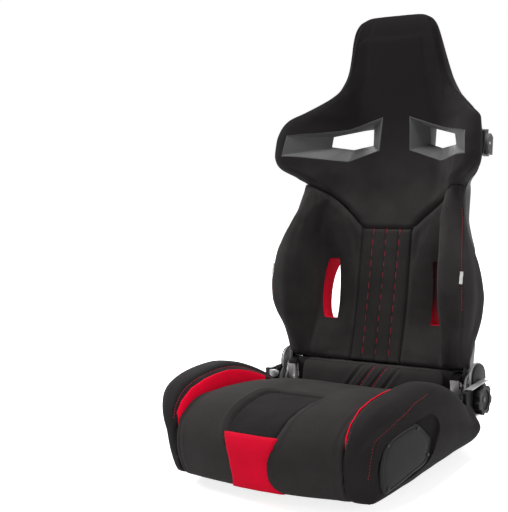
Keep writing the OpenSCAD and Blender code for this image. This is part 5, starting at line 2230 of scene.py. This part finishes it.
    def side_pads(self) -> None:
        """The tall side pads, swollen once and mirrored."""
        rings = np.array([self.bolster_ring(r) for r in BOLSTER_ROWS])
        loft = Loft(BOLSTER_ROWS[:, 0], rings, (0, 1, 2, 14))
        dense = np.linspace(0, 16, 900)
        s = even_steps(loft.points(np.full(900, -135.0), dense), dense, self.grid_mm)[:-1]
        stations = np.linspace(0, 1, 90)
        y = np.interp(stations, [0, 0.06, 0.9, 1], [-303, -291, 138, 154])
        tt, ss = np.meshgrid(y, s, indexing="ij")
        obj = grid_object("right_side_pad", loft.points(tt, ss), wrap=True, caps=False)
        verts = read_verts(obj)
        held = (verts[:, 0] < 207) | (verts[:, 2] < 30) | (verts[:, 1] > 120) | (verts[:, 1] < -294)
        local = verts[:, 0] > 262
        held |= local & (verts[:, 2] < 165)
        inflate(obj, held, self.side_pressure, self.side_cap_mm)
        outer = lay_path(OUTER_SEAM, 6.0)
        Seam(1.4, 2.6, 0.6, 0.3, 8.0).sew(obj, outer)
        inner = self.inner_seam(loft)
        Seam(1.2, 2.4, 0.5, 0.25, 8.0).sew(obj, inner)
        crease_noise(obj, 0.6, 90, 21)
        hollow = smooth_outline(PLATE_HOLLOW, (), 5.0)
        tool = prism("plate_hollow", hollow, 0, self.plate_x - 5, self.plate_x + 40)
        write_verts(tool, turned(read_verts(tool)))
        cut(obj, tool)
        for pad, side in both_sides(obj, "left_side_pad"):
            dress(pad, self.finishes.side_knit, "base", [f"{side.word}_bolster"])
            self.sewing.add("base", snap(pad, flip_x(inner, side), 0.3), 6.2, 4.4, 1.2)
            self.sewing.add("base", snap(pad, flip_x(outer[outer[:, 1] < -112], side), 0.1), 6.2, 3.6, 0.8)

    @staticmethod
    def inner_seam(loft: Loft) -> Array:
        """The seam along the inner top edge of a side pad."""
        y = np.linspace(-294, 60, 90)
        return loft.points(y, np.full(90, 4.25))

    def accents(self) -> None:
        """The red crescents between the cushion and the side pads."""
        y = np.linspace(-288, 22, 105)
        low, high = (np.interp(y, ACCENT_ROWS[:, 0], ACCENT_ROWS[:, k]) for k in (1, 2))
        u = np.linspace(0, 1, 15)
        rows = []
        for yi, a, b in zip(y, low, high):
            z = (a - 18) + (b + 1 - a + 18) * u
            x = 197.6 - 2.0 * np.sin(np.pi * u) ** 0.6 + 2.2 * u
            front = np.stack([x, np.full(15, yi), z], axis=1)
            rear = front[::-3].copy()
            rear[:, 0] = 201.8
            rows.append(np.concatenate([front, rear]))
        for side in Side:
            obj = grid_object(f"{side.word}_red_side", flip_x(np.array(rows), side), wrap=True, caps=True)
            crease_noise(obj, 0.25, 40, 4)
            dress(obj, self.finishes.accent, "base", [f"{side.word}_accent"])

    def plates(self) -> None:
        """The moulded plates on the flanks, with a chamfer, a lower band and corner screws."""
        line = smooth_outline(PLATE, (0, 3, 8), 4.0)
        middle = line.mean(0)
        x = self.plate_x - 5

        def ring(inset: float, out: float) -> Array:
            """One ring of the plate."""
            yz = offset_outline(line, -inset)
            return np.column_stack([np.full(len(yz), x + out), yz])

        steps = ((0, 0.3), (0, 4.5), (0.5, 5.6), (4.2, 8.0), (5.0, 8.0), (6.0, 7.2), (9.0, 7.2), (10.0, 8.0))
        rows = [ring(*step) for step in steps]
        for f in (0.8, 0.55, 0.28, 0.08):
            flat = middle + (offset_outline(line, -10.0) - middle) * f
            rows.append(np.column_stack([np.full(len(flat), x + 8.0 + 0.9 * (1 - f * f)), flat]))
        grid = turned(np.stack(rows))
        pair("flank_plate", grid, self.finishes.plate, "base", "side_plate", 30, 0.5)
        way = np.array([math.cos(PLATE_TURN), math.sin(PLATE_TURN), 0])
        for side in Side:
            for yz in PLATE_SCREWS:
                place = turned(np.array([[x + 8.2, *yz]], float))[0]
                self.screws.add("base", flip_x(place, side), flip_x(way, side), self.plate_screw_mm)


# ---------------------------------------------------------------- the rear cover

COVER_SHOULDER = np.array([[45, 203], [300, 203], [345, 186], [385, 178], [447, 175], [467, 172],
                           [600, 170], [640, 150], [700, 118]], float)
COVER_FLANK = np.array([[45, 189], [290, 189], [345, 174], [380, 161], [600, 160], [640, 138],
                        [700, 104]], float)
COVER_BULGE = np.array([[45, 34], [600, 34], [780, 23], [802, 18], [818, 12], [828, 6]], float)
COVER_EASE = np.array([[432, 0], [447, 3.2], [467, 2.8], [481, 0], [584, 0], [605, 2], [628, 2.2],
                       [650, 1.6], [670, 1], [700, 0]], float)


COVER_PANEL = np.array([[60, 88], [130, 96], [330, 100], [420, 96], [560, 60], [640, 44], [780, 60],
                        [815, 40]], float)
LEG_CUT = np.array([[218, 0], [225, 0], [225, 121], [218, 121]])
HOUSING_CUT = np.array([[237.7, 503.7], [297.7, 503.7], [297.7, 554.3], [237.7, 554.3]])


@dataclass
class RearCover:
    """The moulded cover behind the pads."""

    finishes: Finishes
    screws: Fasteners
    back: BackPads
    wall: float = 3.0
    slot_gap_mm: float = 2.6
    belt_gap_mm: float = 7.0
    screw_mm: float = 4.2

    @staticmethod
    def half(row: Array) -> Array:
        """Half a station of the cover, from its front edge to the middle, (6, 2).

        Args:
            row: A row of BACK_ROWS.

        Returns:
            Points (x, v).
        """
        w, side, xk, vr, vp = row[0], row[1], row[3], row[10], row[11]
        reach = side - 0.11 * (side - xk)
        flat = min(side - 24, float(np.interp(w, REAR_FLAT[:, 0], REAR_FLAT[:, 1])))
        xr = 0.95 * side - 6
        bulge = float(np.interp(w, COVER_BULGE[:, 0], COVER_BULGE[:, 1]))
        xa = min(xr - 3, float(np.interp(w, COVER_SHOULDER[:, 0], COVER_SHOULDER[:, 1])))
        xb = min(xr - 12, float(np.interp(w, COVER_FLANK[:, 0], COVER_FLANK[:, 1])))
        behind = vp if xr < flat else vr + (reach - xr) / (reach - flat) * (vp - vr)
        behind += float(np.interp(w, COVER_EASE[:, 0], COVER_EASE[:, 1]))
        crown = min(22 if w < 300 else 16, bulge - 2)
        return np.array([[xr, behind + 1.0], [xr, behind + (8 if w < 130 else 5)], [xa, vp + crown],
                         [xb, vp + 0.82 * bulge], [0.5 * xb, vp + bulge], [0, vp + bulge]])

    def build(self) -> None:
        """Builds the cover with its cut-outs, raised panel and screws."""
        t = BACK_ROWS[:, 0]
        rings = []
        for row in BACK_ROWS:
            h = self.half(row)
            rings.append(np.concatenate([h, h[4::-1] * (-1, 1)]))
        shell = Loft(t, np.array(rings), ())
        w = np.concatenate([[36], np.linspace(BACK_LOW, 600, 112), np.linspace(604, BACK_TOP, 60)])
        s = np.concatenate([np.linspace(0, 1, 3)[:-1], np.linspace(1, 9, 97), np.linspace(9, 10, 3)[1:]])
        pts = self.along(shell.ring_at(np.maximum(w, BACK_LOW)), s)
        outer = np.concatenate([pts, np.repeat(w[:, None, None], len(s), axis=1)], axis=-1)
        obj = grid_object("rear_shell", back_to_world(self.relief(outer)))
        self.back.cut_slots(obj, self.slot_gap_mm, Cutter.SHEET)
        belt = belt_outline(4.0, self.belt_gap_mm)
        for side in Side:
            for outline, low, high in ((belt, 20, 120), (LEG_CUT, -30, 80), (HOUSING_CUT, -63.3, -30)):
                tool = prism("cover_hole", outline * (side.value, 1), 1, low, high)
                write_verts(tool, back_to_world(read_verts(tool)))
                cut(obj, tool, Cutter.SHEET)
        mod = obj.modifiers.new("wall", "SOLIDIFY")
        mod.thickness, mod.offset, mod.use_even_offset = self.wall * MM, -1.0, False
        apply_modifiers(obj)
        tidy_normals(obj)
        dress(obj, self.finishes.black, "backrest", ["rear_cover"], 35)
        self.fasten(obj)

    @staticmethod
    def along(rings: Array, s: Array) -> Array:
        """Smooth points along open rows of 11 points, (n, len(s), 2).

        Args:
            rings: Rows of points, (n, 11, 2).
            s: Places along a row, counted in points.

        Returns:
            The points.
        """
        i = np.clip(np.floor(s).astype(int), 0, 9)
        t = (s - i)[None, :, None]
        slope = np.gradient(rings, axis=1)
        slope[:, 0] = rings[:, 1] - rings[:, 0]
        slope[:, -1] = rings[:, -1] - rings[:, -2]
        for k in (1, 9):
            slope[:, k] *= 0.35
        return hermite(t, rings[:, i], rings[:, i + 1], slope[:, i], slope[:, i + 1])

    @staticmethod
    def relief(pts: Array) -> Array:
        """Raises a middle panel and presses a border groove into the cover.

        Args:
            pts: Points (x, v, w) of the cover; they are changed.

        Returns:
            The same points.
        """
        x, w = np.abs(pts[..., 0]), pts[..., 2]
        half = np.interp(w, *COVER_PANEL.T)
        edge = np.minimum(half - x, np.minimum(w - 70, 800 - w))
        step = np.clip(edge / 5.0, 0, 1)
        step = step * step * (3 - 2 * step)
        groove = np.exp(-(((edge + 3.5) / 2.2) ** 2))
        pts[..., 1] += 2.4 * step - 1.6 * groove
        return pts

    def fasten(self, obj: bpy.types.Object) -> None:
        """Puts the cover's screws round its border.

        Args:
            obj: The cover.
        """
        spots = [(x, w) for w in (110, 300, 470, 600) for x in (-172, 172)] + [(-96, 745), (96, 745)]
        with opened(obj, keep=False) as bm:
            tree = BVHTree.FromBMesh(bm)
        way = Vector((0, -math.cos(TILT), math.sin(TILT)))
        for x, w in spots:
            start = Vector(back_to_world(np.array([[x, 200.0, w]]))[0]) * MM
            hit, normal, _, _ = tree.ray_cast(start, way)
            if hit is not None:
                self.screws.add("backrest", np.array(hit) / MM, normal, self.screw_mm)


# ---------------------------------------------------------------- metal and moulded parts


@dataclass(frozen=True)
class Hard:
    """One hard node: its finish and how its edges are broken."""

    node: str
    finish: str
    slot: str
    edge_mm: float
    sharp_deg: float = 32.0


@dataclass
class HardParts:
    """Frame, brackets, covers, wheels and lever, taken from the frame with broken edges."""

    finishes: Finishes
    nodes: dict[str, bpy.types.Object]

    @staticmethod
    def parts() -> list[Hard]:
        """Every hard node with its finish.

        Returns:
            The parts, in the order they are made.
        """
        black, zinc = ("frame", "frame_black"), ("zinc", "bright_steel")
        steel, plastic = ("steel", "bracket_steel"), ("black", "plastic_black")
        rows = [
            ("front_cross_tube", *black, 0.6), ("rear_cross_tube", *black, 0.6), ("seat_pan", *black, 0.4),
            ("mount_nuts", *zinc, 0.3), ("bracket_bolts", *zinc, 0.3), ("latch_studs", *zinc, 0.3),
            ("cross_shaft", "screw", "bright_steel", 0.5), ("back_lower_tube", *black, 0.6),
            ("back_hoop", *black, 0.6), ("lumbar_tube", *black, 0.6), ("head_frame", *black, 0.4),
            ("lever_housing", *plastic, 0.6), ("fold_lever", "grey", "plastic_black", 1.2),
            ("lever_pin", *zinc, 0.3)]
        for side in Side:
            rows += [(f"{side.word}_{node}", *rest) for node, *rest in (
                ("rail", *black, 0.7), ("side_support", *black, 0.5), ("bracket", *steel, 0.7),
                ("recliner_disc", *steel, 0.6), ("pivot_cover", *plastic, 1.2),
                ("side_shield", *plastic, 1.6), ("recliner_arm", *steel, 0.5),
                ("hand_wheel", *plastic, 1.8), ("frame_leg", *black, 0.5))]
        return [Hard(*row) for row in rows]

    def ledges(self) -> None:
        """The folded steel edges that stand out over the hand wheels."""
        yz = np.array([[116, 139.7], [197, 139.7], [197, 142.2], [116, 142.2]], float)
        pair("ledge", across((247.6, 261.5, 262.5), yz), self.finishes.edge, "base",
             "side_shield", 30, 0.5)
        self.block("left_ledge_end", (-262.5, 112, 122), (-247.8, 133, 141.8), "black", "left_side_shield")
        self.block("left_catch", (-245, 103, 124), (-231, 117, 141), "catch", "left_bracket")
        self.block("left_catch_pin", (-231.4, 105, 130), (-224.5, 114, 139), "catch", "left_bracket")

    def block(self, name: str, low: Sequence[float], high: Sequence[float], finish: str, node: str) -> None:
        """A small block with broken edges, between two corners.

        Args:
            name: The piece's name.
            low: The corner with the lowest x, y and z.
            high: The opposite corner.
            finish: Which finish it has.
            node: The node it stands for.
        """
        yz = np.array([[low[1], low[2]], [high[1], low[2]], [high[1], high[2] - 2], [low[1], high[2]]], float)
        rows = across((low[0], (low[0] + high[0]) / 2, high[0]), yz)
        obj = grid_object(name, rows, wrap=True, caps=True)
        bevel(obj, 1.6, 3, 30)
        dress(obj, getattr(self.finishes, finish), "base", [node], 30)

    def build(self) -> None:
        """Copies each node, merges it and breaks its edges."""
        self.ledges()
        for part in self.parts():
            source = self.nodes[part.node]
            obj = add_object(f"{part.node}_made", source.data.copy())
            with opened(obj) as bm:
                bmesh.ops.remove_doubles(bm, verts=bm.verts, dist=0.02 * MM)
                bmesh.ops.dissolve_limit(bm, angle_limit=math.radians(0.6), verts=bm.verts, edges=bm.edges)
                bmesh.ops.recalc_face_normals(bm, faces=bm.faces)
            bevel(obj, part.edge_mm, 2, 40)
            dress(obj, getattr(self.finishes, part.finish), body_of(source)[0], [part.node],
                  part.sharp_deg)


# ---------------------------------------------------------------- the studio


@dataclass(frozen=True)
class Lamp:
    """One soft area lamp."""

    name: str
    place: tuple[float, float, float]
    aim: tuple[float, float, float]
    size: float
    watts: float

    def light(self) -> None:
        """Adds the lamp."""
        data = bpy.data.lights.new(self.name, "AREA")
        data.shape, data.size, data.energy = "DISK", self.size, self.watts
        obj = add_object(self.name, data)
        obj.location = self.place
        obj.rotation_euler = (Vector(self.aim) - Vector(self.place)).to_track_quat("-Z", "Y").to_euler()


@dataclass
class Studio:
    """Floor, soft light and camera."""

    camera_mm: tuple[float, float, float] = (1290.80, -2016.94, 839.38)
    right: tuple[float, float, float] = (0.81129, 0.57984, -0.07479)
    up: tuple[float, float, float] = (-0.03411, 0.17465, 0.98404)
    back: tuple[float, float, float] = (0.58365, -0.79579, 0.16147)
    lens: float = 81.96
    floor_m: float = 30.0
    ambient: float = 0.26
    lamps: tuple[Lamp, ...] = (
        Lamp("over", (0.3, 0.25, 2.8), (0.05, 0, 0.3), 1.2, 64),
        Lamp("front", (0.5, -2.1, 0.25), (0, -0.3, 0.15), 0.9, 11),
        Lamp("right", (2.8, -1.0, 1.1), (0, 0.1, 0.5), 1.0, 14),
        Lamp("left", (-2.4, -0.5, 1.5), (0, 0.15, 0.7), 0.9, 56),
        Lamp("behind", (-1.2, 2.4, 1.4), (0, 0.2, 0.5), 1.4, 30))

    def build(self) -> None:
        """Sets up the studio."""
        self.floor()
        self.world()
        for lamp in self.lamps:
            lamp.light()
        self.camera()
        bpy.context.scene.view_settings.view_transform = "Standard"

    @staticmethod
    def seen(tree: bpy.types.NodeTree) -> bpy.types.NodeSocket:
        """1 where the camera, a reflection or glass looks, in a node tree.

        Args:
            tree: The node tree.

        Returns:
            The socket.
        """
        path = add_node(tree, "ShaderNodeLightPath").outputs
        most = {"operation": "MAXIMUM"}
        first = add_node(tree, "ShaderNodeMath", most, {0: path["Is Camera Ray"], 1: path["Is Glossy Ray"]})
        return add_node(tree, "ShaderNodeMath", most,
                        {0: first.outputs[0], 1: path["Is Transmission Ray"]}).outputs[0]

    def floor(self) -> None:
        """A plain pale floor, white to the eye but still holding the shadow."""
        mat = bpy.data.materials.new("pale_floor")
        mat.use_nodes = True
        tree = mat.node_tree
        tree.nodes.clear()
        plain = add_node(tree, "ShaderNodeBsdfDiffuse", None, {"Color": (0.84, 0.84, 0.84, 1)})
        glow = add_node(tree, "ShaderNodeEmission", None,
                        {"Strength": self.seen(tree), "Color": (0.78, 0.78, 0.78, 1)})
        both = add_node(tree, "ShaderNodeAddShader", None, {0: plain.outputs[0], 1: glow.outputs[0]})
        add_node(tree, "ShaderNodeOutputMaterial", None, {0: both.outputs[0]})
        d = self.floor_m
        mesh = bpy.data.meshes.new("floor")
        mesh.from_pydata([(-d, -d, 0), (d, -d, 0), (d, d, 0), (-d, d, 0)], [], [(0, 1, 2, 3)])
        mesh.materials.append(mat)
        obj = add_object("floor", mesh)
        obj.location.z = -0.0005

    def world(self) -> None:
        """White to the eye, a plain soft light on the seat."""
        world = bpy.data.worlds.new("studio")
        world.use_nodes = True
        tree = world.node_tree
        tree.nodes.clear()
        soft, white = (
            add_node(tree, "ShaderNodeBackground", None, {"Color": (1, 1, 1, 1), "Strength": value})
            for value in (self.ambient, 1.0))
        mix = add_node(tree, "ShaderNodeMixShader", None,
                       {0: self.seen(tree), 1: soft.outputs[0], 2: white.outputs[0]})
        add_node(tree, "ShaderNodeOutputWorld", None, {0: mix.outputs[0]})
        bpy.context.scene.world = world

    def camera(self) -> None:
        """The camera."""
        data = bpy.data.cameras.new("camera")
        data.sensor_fit, data.sensor_width, data.lens = "HORIZONTAL", 36.0, self.lens
        data.clip_start, data.clip_end = 0.05, 100
        obj = add_object("camera", data)
        turn = Matrix((self.right, self.up, self.back)).transposed().to_4x4()
        obj.matrix_world = Matrix.Translation(Vector(self.camera_mm) * MM) @ turn
        bpy.context.scene.camera = obj


def main() -> None:
    """Builds the seat and its studio."""
    logging.basicConfig(level=logging.INFO, format="%(name)s %(relativeCreated)d: %(message)s")
    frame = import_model()
    finishes = Finishes()
    sewing, screws = Sewing(), Fasteners()
    back = BackPads(finishes, sewing)
    back.build()
    SeatPads(finishes, sewing, screws).build()
    RearCover(finishes, screws, back).build()
    HardParts(finishes, frame["nodes"]).build()
    sewing.make(finishes)
    screws.make(finishes.screw)
    Studio().build()


if __name__ == "__main__":
    main()
